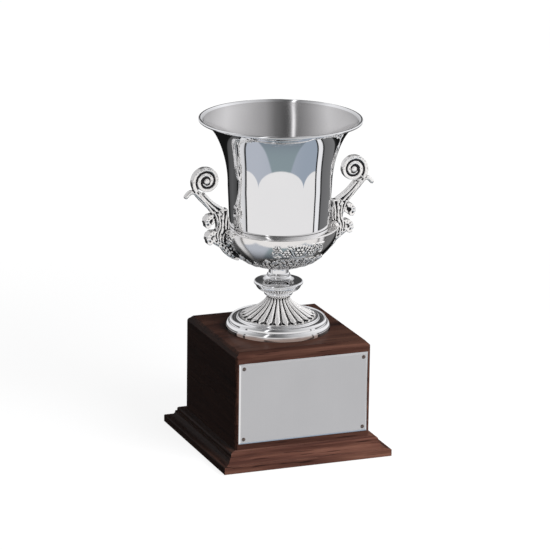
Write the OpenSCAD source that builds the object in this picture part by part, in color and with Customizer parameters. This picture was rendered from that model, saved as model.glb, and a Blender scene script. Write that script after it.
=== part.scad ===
// Two-handled cup trophy on a moulded walnut base.
// Millimetres, +Z up. The engraving plate faces -Y and the handles lie along X.
// The origin is the middle of the felt's underside, which rests on the table.

/* [Base block] */
// Width and depth of the square block
block_side = 152; // [140:1:190]
// Height of the block above the plinth
block_h = 105.5; // [85:0.5:130]
// Thickness of the block's walls and top
wall_t = 14; // [11:0.5:18]
// Bevel along the block's top edges
top_bevel = 5.5; // [2:0.5:8]
// Bevel down the block's vertical corners
corner_bevel = 2.4; // [1:0.1:4]
// Leg of the triangular glue blocks inside the corners
glue_leg = 18; // [12:1:24]
// Gap above the glue blocks
glue_gap = 2; // [1:0.5:5]

/* [Plinth] */
// Height of the plinth mouldings
plinth_h = 19; // [18:0.5:26]
// How far the plinth stands out beyond the block
overhang = 18.5; // [15:0.5:26]
// Height of the plain band at the foot of the moulding
band_h = 6.5; // [4:0.5:7.5]
// Rounding on the top edge of the plain band
band_round = 1.2; // [0.6:0.1:1.8]
// Flat step between the band's rounding and the cove
band_step = 1.8; // [1:0.1:3]
// Radius of the cove
cove_r = 6.5; // [4:0.5:7.5]
// Flat step between the cove and the top bead
cove_step = 1.6; // [0.8:0.1:2.4]
// Radius of the top bead
bead_r = 2.4; // [1.5:0.1:3]
// Thickness of the bottom board
board_t = 6; // [4:0.5:8]
// Width of the rabbet that holds the bottom board
rabbet_w = 5; // [4.5:0.5:7]
// Gap around the bottom board in its rabbet
board_gap = 0.3; // [0.1:0.1:1]
// Radius of the access hole in the bottom board
access_r = 30; // [20:1:40]
// Thickness of the felt
felt_t = 1; // [0.8:0.1:3]
// How far the felt stops short of the plinth's edge
felt_inset = 3; // [1:0.5:8]

/* [Engraving plate] */
// Gap from the plate to the block's sides
plate_side_gap = 3.5; // [3:0.5:20]
// Gap from the plate to the plinth and to the top bevel
plate_end_gap = 6.25; // [3:0.25:20]
// Thickness of the plate
plate_t = 1.2; // [0.8:0.1:2]
// Width of the bright bevel around the plate
plate_bevel = 1.6; // [0.8:0.1:3]
// Depth of that bevel
plate_bevel_depth = 0.7; // [0.3:0.1:0.7]
// Distance of the nails from the plate's edges
nail_inset = 5.2; // [4.5:0.1:10]
// Radius of a nail's shank
nail_r = 0.8; // [0.5:0.1:1.2]
// Length of a nail behind the plate
nail_len = 9; // [5:0.5:10]
// Radius of a nail's round head
nail_head_r = 2.1; // [1.6:0.1:3]
// Height of a nail's round head
nail_head_h = 1.3; // [0.8:0.1:1.5]

/* [Fasteners] */
// Radius of the tie rod
rod_r = 3; // [2.5:0.1:4]
// Gap between the rod and the pieces that it passes through
rod_gap = 0.3; // [0.1:0.1:0.8]
// Depth of the rod's thread in the bowl's boss
rod_grip = 8; // [5:0.5:9]
// Length of rod that stands below the nut
rod_tail = 6; // [2:0.5:12]
// Radius of the washer under the block's top
washer_r = 12; // [8:0.5:20]
// Thickness of the washer
washer_t = 1.6; // [1:0.1:3]
// Width of the nut across its flats
nut_flats = 10; // [9.5:0.5:14]
// Height of the nut
nut_h = 5; // [4:0.5:8]
// Radius of the plinth screws
screw_r = 1.75; // [1.25:0.05:2.2]
// Radius of the plinth screws' heads
screw_head_r = 3; // [2.5:0.1:3.4]
// Length of the plinth screws
screw_len = 38; // [28:1:45]
// Radius of the board screws
board_screw_r = 1.25; // [1:0.05:1.5]
// Radius of the board screws' heads
board_head_r = 2; // [1.8:0.1:2.2]
// Length of the board screws
board_screw_len = 13; // [9:1:16]
// Gap between every screw or nail and its hole
screw_gap = 0.05; // [0.02:0.01:0.1]

/* [Bowl] */
// Radius of the mouth
rim_r = 86.6; // [72:0.5:105]
// Radius of the body below the flare
bowl_r = 55.2; // [46:0.2:67]
// How much narrower the body is at its foot
bowl_taper = 2.2; // [0:0.1:6]
// Height of the bowl
bowl_h = 122; // [100:1:150]
// Height of the flare at the top of the bowl
flare_h = 70; // [55:1:84]
// Rounding at the foot of the bowl
bowl_round = 8; // [5:0.5:12]
// Thickness of the bowl's wall
bowl_t = 1.5; // [1:0.1:2.5]
// Radius of the rolled rim
lip_r = 1.5; // [1.3:0.1:2.5]
// Radius of the threaded boss under the floor
boss_r = 16; // [10:1:24]
// Height of the threaded boss
boss_h = 10; // [9.5:0.5:16]

/* [Calyx] */
// How far the calyx stands out beyond the bowl
calyx_over = 6.3; // [5:0.1:12]
// Depth of the calyx below its widest line
calyx_depth = 43.6; // [33:0.1:53]
// Height of the rounded shoulder above the widest line
shoulder_h = 2.5; // [2:0.1:6]
// Width of the rounded shoulder
shoulder_w = 8; // [5:0.5:9.5]
// Thickness of the calyx
calyx_t = 2; // [1.4:0.1:3]
// Width of the flat seat under the bowl
seat_w = 8; // [5:0.5:12]
// How far the bowl sits down inside the calyx's lip
seat_depth = 6.5; // [4:0.5:9]
// Number of leaves around the foot of the calyx
leaf_count = 10; // [6:1:14]
// Share of each leaf's pitch that the leaf fills
leaf_fill = 0.8; // [0.5:0.05:0.9]
// Thickness of the cast leaves
leaf_t = 1.8; // [1:0.1:3]
// Angle that each leaf spray covers
spray_angle = 58; // [40:1:80]

/* [Stem] */
// Radius of the neck at its ends
neck_r = 11.5; // [9:0.1:14]
// Radius of the neck at its waist
waist_r = 10.6; // [7:0.1:11]
// Height of the neck
neck_h = 10.1; // [5:0.1:12]
// Radius of the knop
knop_r = 26.3; // [22:0.1:32]
// Height of the hollowed upper face of the knop
knop_cap_h = 6; // [4:0.1:9]
// Height of the knop's rounded edge
knop_edge_h = 3.6; // [2.6:0.1:5]
// Height of the dished underside of the knop
knop_dish_h = 7; // [5:0.1:10]
// Radius at the bottom of the knop
knop_foot_r = 15.5; // [12:0.1:18]
// Radius of the section of the collar ring
collar_section = 2.7; // [1.8:0.1:3.5]
// Radius of the collar ring to the middle of its section
collar_r = 12.6; // [9:0.1:14]

/* [Foot] */
// Height of the fluted trumpet
trumpet_h = 23.7; // [18:0.1:34]
// Radius at the top of the trumpet
trumpet_top_r = 11; // [9:0.1:14]
// Radius at the bottom of the trumpet
trumpet_r = 40.5; // [34:0.5:48]
// Number of ribs around the trumpet
rib_count = 24; // [12:1:30]
// How far each rib stands out
rib_h = 0.9; // [0.4:0.1:1.4]
// How far the foot's edge stands out beyond the trumpet
foot_over = 14.8; // [13:0.1:20]
// Height of the foot rim
foot_h = 14; // [13:0.5:17]
// Height of the upright band at the foot's edge
foot_band_h = 3.6; // [2:0.1:4.5]
// Height of the large round above that band
foot_round_h = 4.6; // [3.5:0.1:5]
// Width of the hollow between the foot's edge and the trumpet
channel_w = 6.4; // [4:0.1:7.5]
// Thickness of the foot castings
foot_t = 2; // [1.4:0.1:3]

/* [Handles] */
// Thickness of the scroll and the arm
handle_t = 9; // [6:0.5:12]
// Thickness of the leafy stem of the handle
stem_t = 12; // [8:0.5:16]
// Distance from the calyx's widest line out to the scroll's eye
eye_out = 21.7; // [18:0.5:30]
// Height of the scroll's eye above the bowl's underside
eye_up = 60.5; // [57:0.5:77]
// Radius where the scroll leaves the arm
scroll_r = 17; // [13:0.5:19]
// Width of the scroll's strap
strap_w = 3.4; // [2.4:0.1:4]
// Distance from one turn of the scroll to the next
scroll_pitch = 4.6; // [4.4:0.1:6]
// Radius of the scroll's eye
eye_r = 3; // [2:0.1:4]
// Outer radius of the two curled leaves
curl_r = 8; // [6:0.5:10]
// Inner radius of the two curled leaves
curl_inner_r = 3.4; // [2:0.1:4.5]
// Half angle that the root covers on the calyx's shoulder
root_angle = 17; // [12:1:24]
// Thickness of the root on the calyx
root_t = 3.4; // [2:0.1:4.5]

/* [Hidden] */
$fn = 64;

walnut = "saddlebrown";
silver = "silver";
steel = "slategray";

arc_steps = 6;
flare_steps = 14;
bowl_steps = 18;
eps = 0.01;

// The base, from the table up
block_half = block_side / 2;
plinth_half = block_half + overhang;
inner_half = block_half - wall_t;
plinth_top = felt_t + plinth_h;
block_top = plinth_top + block_h;
board_half = inner_half + rabbet_w - board_gap;
screw_line = (inner_half + rabbet_w + block_half) / 2;
screw_spread = block_side * 0.3;
screw_head_h = 2.4;
board_screw_line = inner_half + rabbet_w / 2;
board_head_h = 1.6;

// The engraving plate
plate_w = block_side - 2 * plate_side_gap;
plate_h = block_h - top_bevel - 2 * plate_end_gap;
plate_z = plinth_top + plate_end_gap + plate_h / 2;

// The cup, from the block's top up
trumpet_seat = 1;
trumpet_curve = 1.7;
trumpet_z = block_top + foot_h - trumpet_seat;
collar_z = trumpet_z + trumpet_h;
knop_z = collar_z + 2 * collar_section;
knop_h = knop_dish_h + knop_edge_h + knop_cap_h;
neck_z = knop_z + knop_h;
calyx_base_z = neck_z + neck_h;
calyx_r = bowl_r + calyx_over;
whorl_share = 0.86;
calyx_z = calyx_base_z + calyx_depth * sqrt(1 - pow(neck_r / calyx_r, 2));
bowl_z = calyx_z + shoulder_h - seat_depth;
bowl_base_r = bowl_r - bowl_taper;
rim_z = bowl_z + bowl_h;
flare_z = rim_z - lip_r - flare_h;
flare_w = rim_r - lip_r - bowl_r;
seat_r = bowl_base_r - bowl_round;
foot_r = trumpet_r + foot_over;
bore_r = rod_r + rod_gap;
nut_z = block_top - wall_t - washer_t - nut_h;
rod_bottom = nut_z - rod_tail;
rod_top = bowl_z - boss_h + rod_grip;

// Points along an arc, an ellipse's when rz is given
function arc(cx, cz, rx, from, to, rz = undef, steps = arc_steps) =
    [for (i = [0 : steps])
        let (a = from + (to - from) * i / steps)
        [cx + rx * cos(a), cz + (is_undef(rz) ? rx : rz) * sin(a)]];

function reversed(list) = [for (i = [len(list) - 1 : -1 : 0]) list[i]];

// ---- Base block and plinth ----

// The plan triangle from the middle out past one side, which mitres that side
module side_wedge(turn, reach, z0, z1) {
    rotate([0, 0, turn])
        translate([0, 0, z0])
            linear_extrude(z1 - z0)
                polygon([[0, 0], [-reach, -reach], [reach, -reach]]);
}

// A solid whose section across X, and across Y, is the same outline
module square_section(outline, reach) {
    intersection() {
        rotate([90, 0, 0])
            translate([0, 0, -reach])
                linear_extrude(2 * reach)
                    polygon(outline);
        rotate([90, 0, 90])
            translate([0, 0, -reach])
                linear_extrude(2 * reach)
                    polygon(outline);
    }
}

module block_form() {
    h = block_half;
    c = corner_bevel;
    intersection() {
        square_section([
            [-h, plinth_top], [h, plinth_top], [h, block_top - top_bevel],
            [h - top_bevel, block_top], [top_bevel - h, block_top], [-h, block_top - top_bevel]
        ], block_side);
        translate([0, 0, plinth_top])
            linear_extrude(block_h)
                polygon([
                    [c - h, -h], [h - c, -h], [h, c - h], [h, h - c],
                    [h - c, h], [c - h, h], [-h, h - c], [-h, c - h]
                ]);
    }
}

// The top board and its mitres, which widen towards the top
module top_form() {
    square_section([
        [-inner_half, block_top - wall_t], [inner_half, block_top - wall_t],
        [block_half, block_top], [-block_half, block_top]
    ], block_side);
}

module wall_panel(turn) {
    difference() {
        intersection() {
            block_form();
            side_wedge(turn, block_side, plinth_top, block_top);
        }
        translate([-inner_half, -inner_half, plinth_top - 1])
            cube([2 * inner_half, 2 * inner_half, block_h - wall_t + 1]);
        top_form();
        plinth_screw_pair(turn, screw_gap);
    }
}

// The front wall, or a side wall that the nails near its mitre may reach
module nailed_wall(turn) {
    color(walnut)
        difference() {
            wall_panel(turn);
            nail_places()
                nail_shank(screw_gap);
        }
}

module wall_front() {
    nailed_wall(0);
}

module wall_right() {
    nailed_wall(90);
}

module wall_back() {
    color(walnut)
        wall_panel(180);
}

module wall_left() {
    nailed_wall(270);
}

module top_board() {
    color(walnut)
        difference() {
            intersection() {
                block_form();
                top_form();
            }
            translate([0, 0, block_top - wall_t - 1])
                cylinder(r = bore_r, h = wall_t + 2);
        }
}

module glue_blocks() {
    color("burlywood")
        for (turn = [0 : 90 : 270])
            rotate([0, 0, turn])
                translate([0, 0, plinth_top])
                    linear_extrude(block_h - wall_t - glue_gap)
                        polygon([
                            [inner_half, inner_half],
                            [inner_half - glue_leg, inner_half],
                            [inner_half, inner_half - glue_leg]
                        ]);
}

// The moulding's section: distance out from the middle, height above the table
function moulding_outline() =
    let (
        band_z = felt_t + band_h,
        cove_z = band_z + band_round + cove_r,
        cove_x = plinth_half - band_round - band_step,
        bead_x = cove_x - cove_r - cove_step - bead_r
    )
    concat(
        [
            [inner_half, plinth_top], [inner_half, felt_t + board_t],
            [inner_half + rabbet_w, felt_t + board_t], [inner_half + rabbet_w, felt_t],
            [plinth_half, felt_t]
        ],
        arc(plinth_half - band_round, band_z, band_round, 0, 90),
        arc(cove_x, cove_z, cove_r, 270, 180),
        [[bead_x + bead_r, cove_z]],
        arc(bead_x, plinth_top - bead_r, bead_r, 0, 90)
    );

module plinth_moulding(turn) {
    color(walnut)
        difference() {
            intersection() {
                rotate([0, 0, turn])
                    rotate([90, 0, -90])
                        translate([0, 0, -plinth_half])
                            linear_extrude(2 * plinth_half)
                                polygon(moulding_outline());
                side_wedge(turn, 2 * plinth_half, 0, plinth_top + 1);
            }
            plinth_screw_pair(turn, screw_gap);
            board_screw(turn, screw_gap);
        }
}

module plinth_front() {
    plinth_moulding(0);
}

module plinth_right() {
    plinth_moulding(90);
}

module plinth_back() {
    plinth_moulding(180);
}

module plinth_left() {
    plinth_moulding(270);
}

module bottom_board() {
    color("peru")
        difference() {
            translate([-board_half, -board_half, felt_t])
                cube([2 * board_half, 2 * board_half, board_t]);
            translate([0, 0, felt_t - 1])
                cylinder(r = access_r, h = board_t + 2);
            for (turn = [0 : 90 : 270])
                board_screw(turn, screw_gap);
        }
}

module felt_pad() {
    half = plinth_half - felt_inset;
    color("darkgreen")
        translate([-half, -half, 0])
            cube([2 * half, 2 * half, felt_t]);
}

// ---- Screws, nails and the engraving plate ----

// A countersunk screw standing on its head, with a gap all round when it is a hole
module screw_form(r, head_r, head_h, length, gap) {
    cylinder(r = r + gap, h = length + gap);
    cylinder(r1 = head_r + gap, r2 = r + gap, h = head_h);
}

module plinth_screw_pair(turn, gap) {
    rotate([0, 0, turn])
        for (x = [-screw_spread, screw_spread])
            translate([x, -screw_line, felt_t])
                screw_form(screw_r, screw_head_r, screw_head_h, screw_len, gap);
}

module board_screw(turn, gap) {
    rotate([0, 0, turn])
        translate([0, -board_screw_line, felt_t])
            screw_form(board_screw_r, board_head_r, board_head_h, board_screw_len, gap);
}

module plinth_screws() {
    color(steel)
        for (turn = [0 : 90 : 270])
            plinth_screw_pair(turn, 0);
}

module board_screws() {
    color(steel)
        for (turn = [0 : 90 : 270])
            board_screw(turn, 0);
}

// Runs its children at each nail, with +Z pointing out of the block's front
module nail_places() {
    for (x = [-1, 1], z = [-1, 1])
        translate([x * (plate_w / 2 - nail_inset), -block_half, plate_z + z * (plate_h / 2 - nail_inset)])
            rotate([90, 0, 0])
                children();
}

module nail_shank(gap) {
    translate([0, 0, -nail_len])
        cylinder(r = nail_r + gap, h = nail_len + plate_t + eps);
}

module engraving_plate() {
    face = plate_t - plate_bevel_depth;
    w = plate_w / 2;
    h = plate_h / 2;
    b = plate_bevel;
    color("gainsboro")
        difference() {
            translate([0, -block_half, plate_z])
                intersection() {
                    translate([0, 0, -h])
                        linear_extrude(plate_h)
                            polygon([
                                [-w, 0], [w, 0], [w, -face],
                                [w - b, -plate_t], [b - w, -plate_t], [-w, -face]
                            ]);
                    rotate([0, 90, 0])
                        translate([0, 0, -w])
                            linear_extrude(plate_w)
                                polygon([
                                    [-h, 0], [h, 0], [h, -face],
                                    [h - b, -plate_t], [b - h, -plate_t], [-h, -face]
                                ]);
                }
            nail_places()
                nail_shank(screw_gap);
        }
}

module plate_nails() {
    dome_r = (pow(nail_head_r, 2) + pow(nail_head_h, 2)) / (2 * nail_head_h);
    color("lightgray")
        nail_places() {
            nail_shank(0);
            translate([0, 0, plate_t])
                intersection() {
                    translate([0, 0, nail_head_h - dome_r])
                        sphere(r = dome_r);
                    cylinder(r = nail_head_r + 1, h = nail_head_h + 1);
                }
        }
}

// ---- Bowl ----

// The flare widens slowly and then sweeps out at the rim: t runs from 0 to 1
function flare(t) = 0.72 * pow(t, 2) + 0.28 * pow(t, 11);
function flare_slope(t) = (1.44 * t + 3.08 * pow(t, 10)) * flare_w / flare_h;

// A point on the flare, set in from the outside by a depth
function flare_point(t, depth) =
    let (s = flare_slope(t), n = sqrt(1 + s * s))
    [bowl_r + flare_w * flare(t) - depth / n, flare_z + flare_h * t + depth * s / n];

function bowl_side(depth) = concat(
    [[0, bowl_z + depth]],
    arc(seat_r, bowl_z + bowl_round, bowl_round - depth, 270, 360),
    [for (i = [0 : flare_steps]) flare_point(i / flare_steps, depth)]
);

module bowl() {
    color(silver)
        union() {
            rotate_extrude()
                polygon(concat(bowl_side(0), reversed(bowl_side(bowl_t))));
            translate([0, 0, rim_z - lip_r])
                rotate_extrude()
                    translate([rim_r - lip_r, 0])
                        circle(r = lip_r);
        }
}

module bowl_boss() {
    color(steel)
        translate([0, 0, bowl_z - boss_h])
            difference() {
                cylinder(r = boss_r, h = boss_h);
                translate([0, 0, -1])
                    cylinder(r = rod_r + screw_gap, h = rod_grip + 1 + screw_gap);
            }
}

// ---- Calyx and its leaves ----

// The angle on the calyx's ellipse where it has narrowed to a radius
function calyx_angle(r) = -acos(r / calyx_r);

// The calyx's side, moved out by off, between two angles on its ellipse
function calyx_side(off, from, to, steps = bowl_steps) =
    arc(0, calyx_z, calyx_r + off, from, to, calyx_depth + off, steps);

// The rounded shoulder above the widest line, moved out by off
function shoulder(off, to = 90) =
    arc(calyx_r - shoulder_w, calyx_z, shoulder_w + off, 0, to, shoulder_h + off);

// A cast leaf or spray on the calyx, over an angle centred on a direction, and sunk in by under
module calyx_patch(direction, angle, from, to, thickness, under = 0) {
    rotate([0, 0, direction - angle / 2])
        rotate_extrude(angle = angle)
            polygon(concat(
                calyx_side(-under, from, to, arc_steps),
                reversed(calyx_side(thickness, from, to, arc_steps))
            ));
}

// The plain cup that the leaves, the sprays and the handles' roots lie on
module calyx_cup() {
    inner_low = calyx_angle(neck_r);
    lip_r_in = calyx_r - shoulder_w;
    rotate_extrude()
        polygon(concat(
            [[0, calyx_base_z]],
            calyx_side(0, calyx_angle(neck_r), 0),
            shoulder(0),
            [
                [lip_r_in, bowl_z], [seat_r - seat_w, bowl_z],
                [seat_r - seat_w, bowl_z - calyx_t], [lip_r_in + calyx_t, bowl_z - calyx_t]
            ],
            reversed(shoulder(-calyx_t, acos(calyx_t / (shoulder_w - calyx_t)))),
            calyx_side(-calyx_t, 0, inner_low),
            [[0, calyx_base_z + 2 * calyx_t]]
        ));
}

// The cast leaves round the calyx's foot
module leaf_whorl() {
    for (i = [0 : leaf_count - 1])
        calyx_patch(
            360 * (i + 0.5) / leaf_count, 360 / leaf_count * leaf_fill,
            calyx_angle(calyx_r * 0.24), calyx_angle(calyx_r * whorl_share), leaf_t
        );
}

module calyx() {
    color(silver)
        difference() {
            union() {
                calyx_cup();
                difference() {
                    leaf_whorl();
                    root();
                    mirror([1, 0, 0])
                        root();
                }
            }
            translate([0, 0, calyx_base_z - 1])
                cylinder(r = bore_r, h = calyx_depth);
        }
}

module leaf_spray(direction) {
    color(silver)
        difference() {
            calyx_patch(
                direction, spray_angle, calyx_angle(calyx_r * (whorl_share + 0.02)),
                calyx_angle(calyx_r * 0.995), leaf_t, calyx_t / 4
            );
            calyx_cup();
        }
}

module leaf_spray_front() {
    leaf_spray(270);
}

module leaf_spray_back() {
    leaf_spray(90);
}

// ---- Stem and foot ----

module turned(outline) {
    color(silver)
        difference() {
            rotate_extrude()
                polygon(outline);
            cylinder(r = bore_r, h = rim_z);
        }
}

module stem_neck() {
    flange_r = neck_r + 0.9;
    flange_h = 1.4;
    half_h = (neck_h - flange_h) / 2;
    turned(concat(
        [[0, neck_z], [flange_r, neck_z], [flange_r, neck_z + flange_h]],
        arc(neck_r, neck_z + flange_h + half_h, neck_r - waist_r, 270, 90, half_h),
        [[0, calyx_base_z]]
    ));
}

module knop() {
    edge_z = knop_z + knop_dish_h;
    cap_z = edge_z + knop_edge_h;
    set_in = 1.2;
    cap_r = knop_r - set_in;
    turned(concat(
        [[0, knop_z]],
        arc(knop_foot_r, edge_z, knop_r - 2 - knop_foot_r, 270, 360, knop_dish_h),
        arc(knop_r - knop_edge_h / 2, edge_z + knop_edge_h / 2, knop_edge_h / 2, -80, 70),
        arc(cap_r, neck_z, cap_r - neck_r - set_in, 270, 180, knop_cap_h),
        [[0, neck_z]]
    ));
}

module collar_ring() {
    color(silver)
        difference() {
            union() {
                translate([0, 0, collar_z + collar_section])
                    rotate_extrude()
                        translate([collar_r, 0])
                            circle(r = collar_section);
                translate([0, 0, collar_z])
                    cylinder(r = collar_r, h = 2 * collar_section);
            }
            translate([0, 0, collar_z - 1])
                cylinder(r = bore_r, h = 2 * collar_section + 2);
        }
}

// A point on the trumpet, u from 0 at the bottom to 1 at the top
function trumpet_point(u, off) =
    let (r = trumpet_top_r + (trumpet_r - trumpet_top_r) * pow(1 - u, trumpet_curve))
    [r + off, trumpet_z + trumpet_h * u];

function trumpet_side(off, from, to) =
    [for (i = [0 : arc_steps * 2]) trumpet_point(from + (to - from) * i / (arc_steps * 2), off)];

module foot_trumpet() {
    rib_from = 0.06;
    rib_to = 0.86;
    rib_share = 0.5;
    color(silver)
        difference() {
            union() {
                rotate_extrude()
                    polygon(concat(
                        trumpet_side(0, 0, 1),
                        [[0, trumpet_z + trumpet_h], [0, trumpet_z + trumpet_h - 3 * foot_t]],
                        reversed(trumpet_side(-foot_t, 0, 0.8))
                    ));
                for (i = [0 : rib_count - 1])
                    rotate([0, 0, 360 / rib_count * i])
                        rotate_extrude(angle = 360 / rib_count * rib_share)
                            polygon(concat(
                                trumpet_side(-foot_t / 2, rib_from, rib_to),
                                reversed(trumpet_side(rib_h, rib_from, rib_to))
                            ));
            }
            translate([0, 0, trumpet_z])
                cylinder(r = bore_r, h = trumpet_h + 1);
        }
}

// The foot rim steps down from a bead, past a hollow, over a small and a large round to a band
module foot_rim() {
    base = block_top;
    top = base + foot_h - trumpet_seat;
    round_w = 2.6;
    step = 0.5;
    bead = 1.5;
    round_z = base + foot_band_h;
    upper_z = round_z + foot_round_h + step;
    upper_x = foot_r - 2 * step - round_w;
    channel_x = trumpet_r + 2 * bead + channel_w;
    color(silver)
        rotate_extrude()
            polygon(concat(
                [[foot_r - foot_t, base], [foot_r, base], [foot_r, round_z]],
                arc(foot_r - step - round_w, round_z, round_w, 0, 90, foot_round_h),
                [[upper_x, round_z + foot_round_h]],
                arc(channel_x, upper_z, upper_x - channel_x, 0, 90, top - step - upper_z),
                arc(channel_x - channel_w / 2, top - step, channel_w / 2, 0, -180, bead),
                arc(trumpet_r + bead, top + trumpet_seat - bead, bead, 0, 90),
                [
                    [trumpet_r, top + trumpet_seat],
                    [trumpet_r, top],
                    [trumpet_r - foot_t, top],
                    [trumpet_r - foot_t, top - bead - step - foot_t],
                    [channel_x, top - bead - step - foot_t],
                    [foot_r - foot_t - round_w, round_z + foot_round_h - foot_t],
                    [foot_r - foot_t, round_z]
                ]
            ));
}

module tie_rod() {
    color(steel)
        translate([0, 0, rod_bottom])
            cylinder(r = rod_r, h = rod_top - rod_bottom);
}

module rod_washer() {
    color(steel)
        translate([0, 0, nut_z + nut_h])
            difference() {
                cylinder(r = washer_r, h = washer_t);
                translate([0, 0, -1])
                    cylinder(r = bore_r, h = washer_t + 2);
            }
}

module rod_nut() {
    color(steel)
        translate([0, 0, nut_z])
            difference() {
                cylinder(r = nut_flats / sqrt(3), h = nut_h, $fn = 6);
                translate([0, 0, -1])
                    cylinder(r = rod_r + screw_gap, h = nut_h + 2);
            }
}

// ---- Handles ----

// Handle places: x out from the calyx's widest line, z up from the bowl's underside
function at(x, z) = [calyx_r + x, bowl_z + z];

// The scroll's outer radius, which shrinks by one pitch each turn
scroll_start = -45;
scroll_turn = (scroll_r - eye_r - strap_w * 0.6) / scroll_pitch * 360;
function scroll_at(a, depth) =
    let (r = scroll_r - scroll_pitch * (a - scroll_start) / 360 - depth)
    [r * cos(a), r * sin(a)];
function scroll_edge(depth, turn = scroll_turn) =
    let (steps = ceil(turn / 15))
    [for (i = [0 : steps]) scroll_at(scroll_start + turn * i / steps, depth)];

// Extrudes its children, drawn in the plane of the handle, to a thickness about that plane
module handle_plane(thickness) {
    rotate([90, 0, 0])
        translate([0, 0, -thickness / 2])
            linear_extrude(thickness)
                children();
}

module scroll() {
    eye = at(eye_out, eye_up);
    web_t = handle_t * 0.6;
    translate([eye[0], 0, eye[1]]) {
        handle_plane(handle_t)
            polygon(concat(scroll_edge(0), reversed(scroll_edge(strap_w))));
        handle_plane(web_t)
            polygon(scroll_edge(strap_w / 2, 360));
        handle_plane(handle_t + 1)
            circle(r = eye_r);
    }
}

module arm() {
    eye = at(eye_out, eye_up);
    handle_plane(handle_t)
        polygon([
            at(0.5, 29.1), eye + [1.5, -16.6], eye + [4.5, -11], eye + [13, -9],
            eye + [16.5, -11.8], eye + [7.5, -22], at(17.8, 27.3), at(10, 22.5)
        ]);
    // Small leaf at the outer corner of the arm
    handle_plane(handle_t * 0.7)
        polygon(concat(
            [eye + [10, -14], eye + [13, -8], eye + [18, -10.5]],
            arc(eye[0] + 22.5, eye[1] - 16.5, 2.5, 60, -120)
        ));
}

// A leaf that curls out and down to a rounded tip
module leaf_curl(x, z, from, to) {
    middle = at(x, z);
    tip_r = (curl_r + curl_inner_r) / 2;
    handle_plane(stem_t - 1) {
        polygon(concat(
            arc(middle[0], middle[1], curl_r, from, to),
            reversed(arc(middle[0], middle[1], curl_inner_r, from, to))
        ));
        translate(middle + [tip_r * cos(to), tip_r * sin(to)])
            circle(r = (curl_r - curl_inner_r) * 0.6);
    }
}

// The leafy stem that rises from the calyx and carries the arm
module leafy_stem() {
    lift = 1;
    clear = bowl_r - calyx_r;
    low = calyx_angle(calyx_r * 0.8);
    handle_plane(stem_t)
        polygon(concat(
            calyx_side(lift, low, 0, arc_steps),
            shoulder(lift, 60),
            [
                at(clear + 1.8, 9), at(clear + 2.6, 12.5), at(clear + 4.2, 24.5),
                at(clear + 4.4, 29.5), at(17.8, 27.3), at(13.5, 22.5), at(11, 16.5),
                at(9.5, 10.5), at(11, 4.5), at(12.5, -2.5), at(7.5, -12.5)
            ],
            reversed(calyx_side(root_t + 1.6, low, calyx_angle(calyx_r * 0.9), 3))
        ));
}

// The leafy root lies on the calyx, wide on the shoulder and narrow at its tip
module root() {
    low = calyx_angle(calyx_r * 0.66);
    top_y = calyx_r * sin(root_angle);
    tip_y = top_y * 0.28;
    tip_z = calyx_z + calyx_depth * sin(low);
    intersection() {
        rotate([0, 0, -2 * root_angle])
            rotate_extrude(angle = 4 * root_angle)
                polygon(concat(
                    calyx_side(0, low, 0, bowl_steps),
                    shoulder(0, 60),
                    reversed(shoulder(root_t, 60)),
                    calyx_side(root_t, 0, low, bowl_steps)
                ));
        rotate([90, 0, 90])
            linear_extrude(2 * calyx_r)
                polygon([
                    [-tip_y, tip_z - root_t], [tip_y, tip_z - root_t], [top_y, calyx_z - 4],
                    [top_y, calyx_z + 12], [-top_y, calyx_z + 12], [-top_y, calyx_z - 4]
                ]);
    }
}

module handle() {
    color(silver)
        union() {
            scroll();
            arm();
            leaf_curl(16, 16.5, 110, -45);
            leaf_curl(14, -1.5, 130, -50);
            leafy_stem();
            root();
        }
}

module handle_right() {
    handle();
}

module handle_left() {
    mirror([1, 0, 0])
        handle();
}

bowl();
bowl_boss();
calyx();
leaf_spray_front();
leaf_spray_back();
handle_left();
handle_right();
stem_neck();
knop();
collar_ring();
foot_trumpet();
foot_rim();
tie_rod();
rod_washer();
rod_nut();
wall_front();
wall_back();
wall_left();
wall_right();
top_board();
glue_blocks();
plinth_front();
plinth_back();
plinth_left();
plinth_right();
bottom_board();
plinth_screws();
board_screws();
felt_pad();
engraving_plate();
plate_nails();
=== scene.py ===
"""Silver presentation cup on a walnut base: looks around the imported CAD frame."""

import math

import bmesh
import bpy
import numpy as np
from mathutils import Matrix, Vector


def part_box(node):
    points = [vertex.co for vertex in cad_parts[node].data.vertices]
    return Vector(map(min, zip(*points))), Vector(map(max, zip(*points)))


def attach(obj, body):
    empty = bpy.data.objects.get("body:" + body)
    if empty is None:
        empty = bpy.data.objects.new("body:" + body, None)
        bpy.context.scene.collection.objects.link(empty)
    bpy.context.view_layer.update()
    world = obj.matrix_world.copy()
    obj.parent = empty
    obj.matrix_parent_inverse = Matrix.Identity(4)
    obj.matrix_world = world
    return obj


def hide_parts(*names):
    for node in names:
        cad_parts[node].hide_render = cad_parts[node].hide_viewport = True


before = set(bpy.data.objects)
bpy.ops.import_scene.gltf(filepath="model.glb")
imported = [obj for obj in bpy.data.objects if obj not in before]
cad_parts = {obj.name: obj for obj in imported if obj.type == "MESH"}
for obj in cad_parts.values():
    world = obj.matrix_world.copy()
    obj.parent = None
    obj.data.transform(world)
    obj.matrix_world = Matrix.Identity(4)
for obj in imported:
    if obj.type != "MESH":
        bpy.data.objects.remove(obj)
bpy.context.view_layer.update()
MM = 0.001

# ---------------------------------------------------------------- camera
CAMERA_AZ, CAMERA_EL, CAMERA_ROLL = -21.52, 16.15, 0.78
AIM_AZ, AIM_EL = -21.46, 16.06
CAMERA_DISTANCE, CAMERA_TARGET_Z = 3.7655, 0.17733
LENS, SENSOR = 232.15, 36.0

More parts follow.
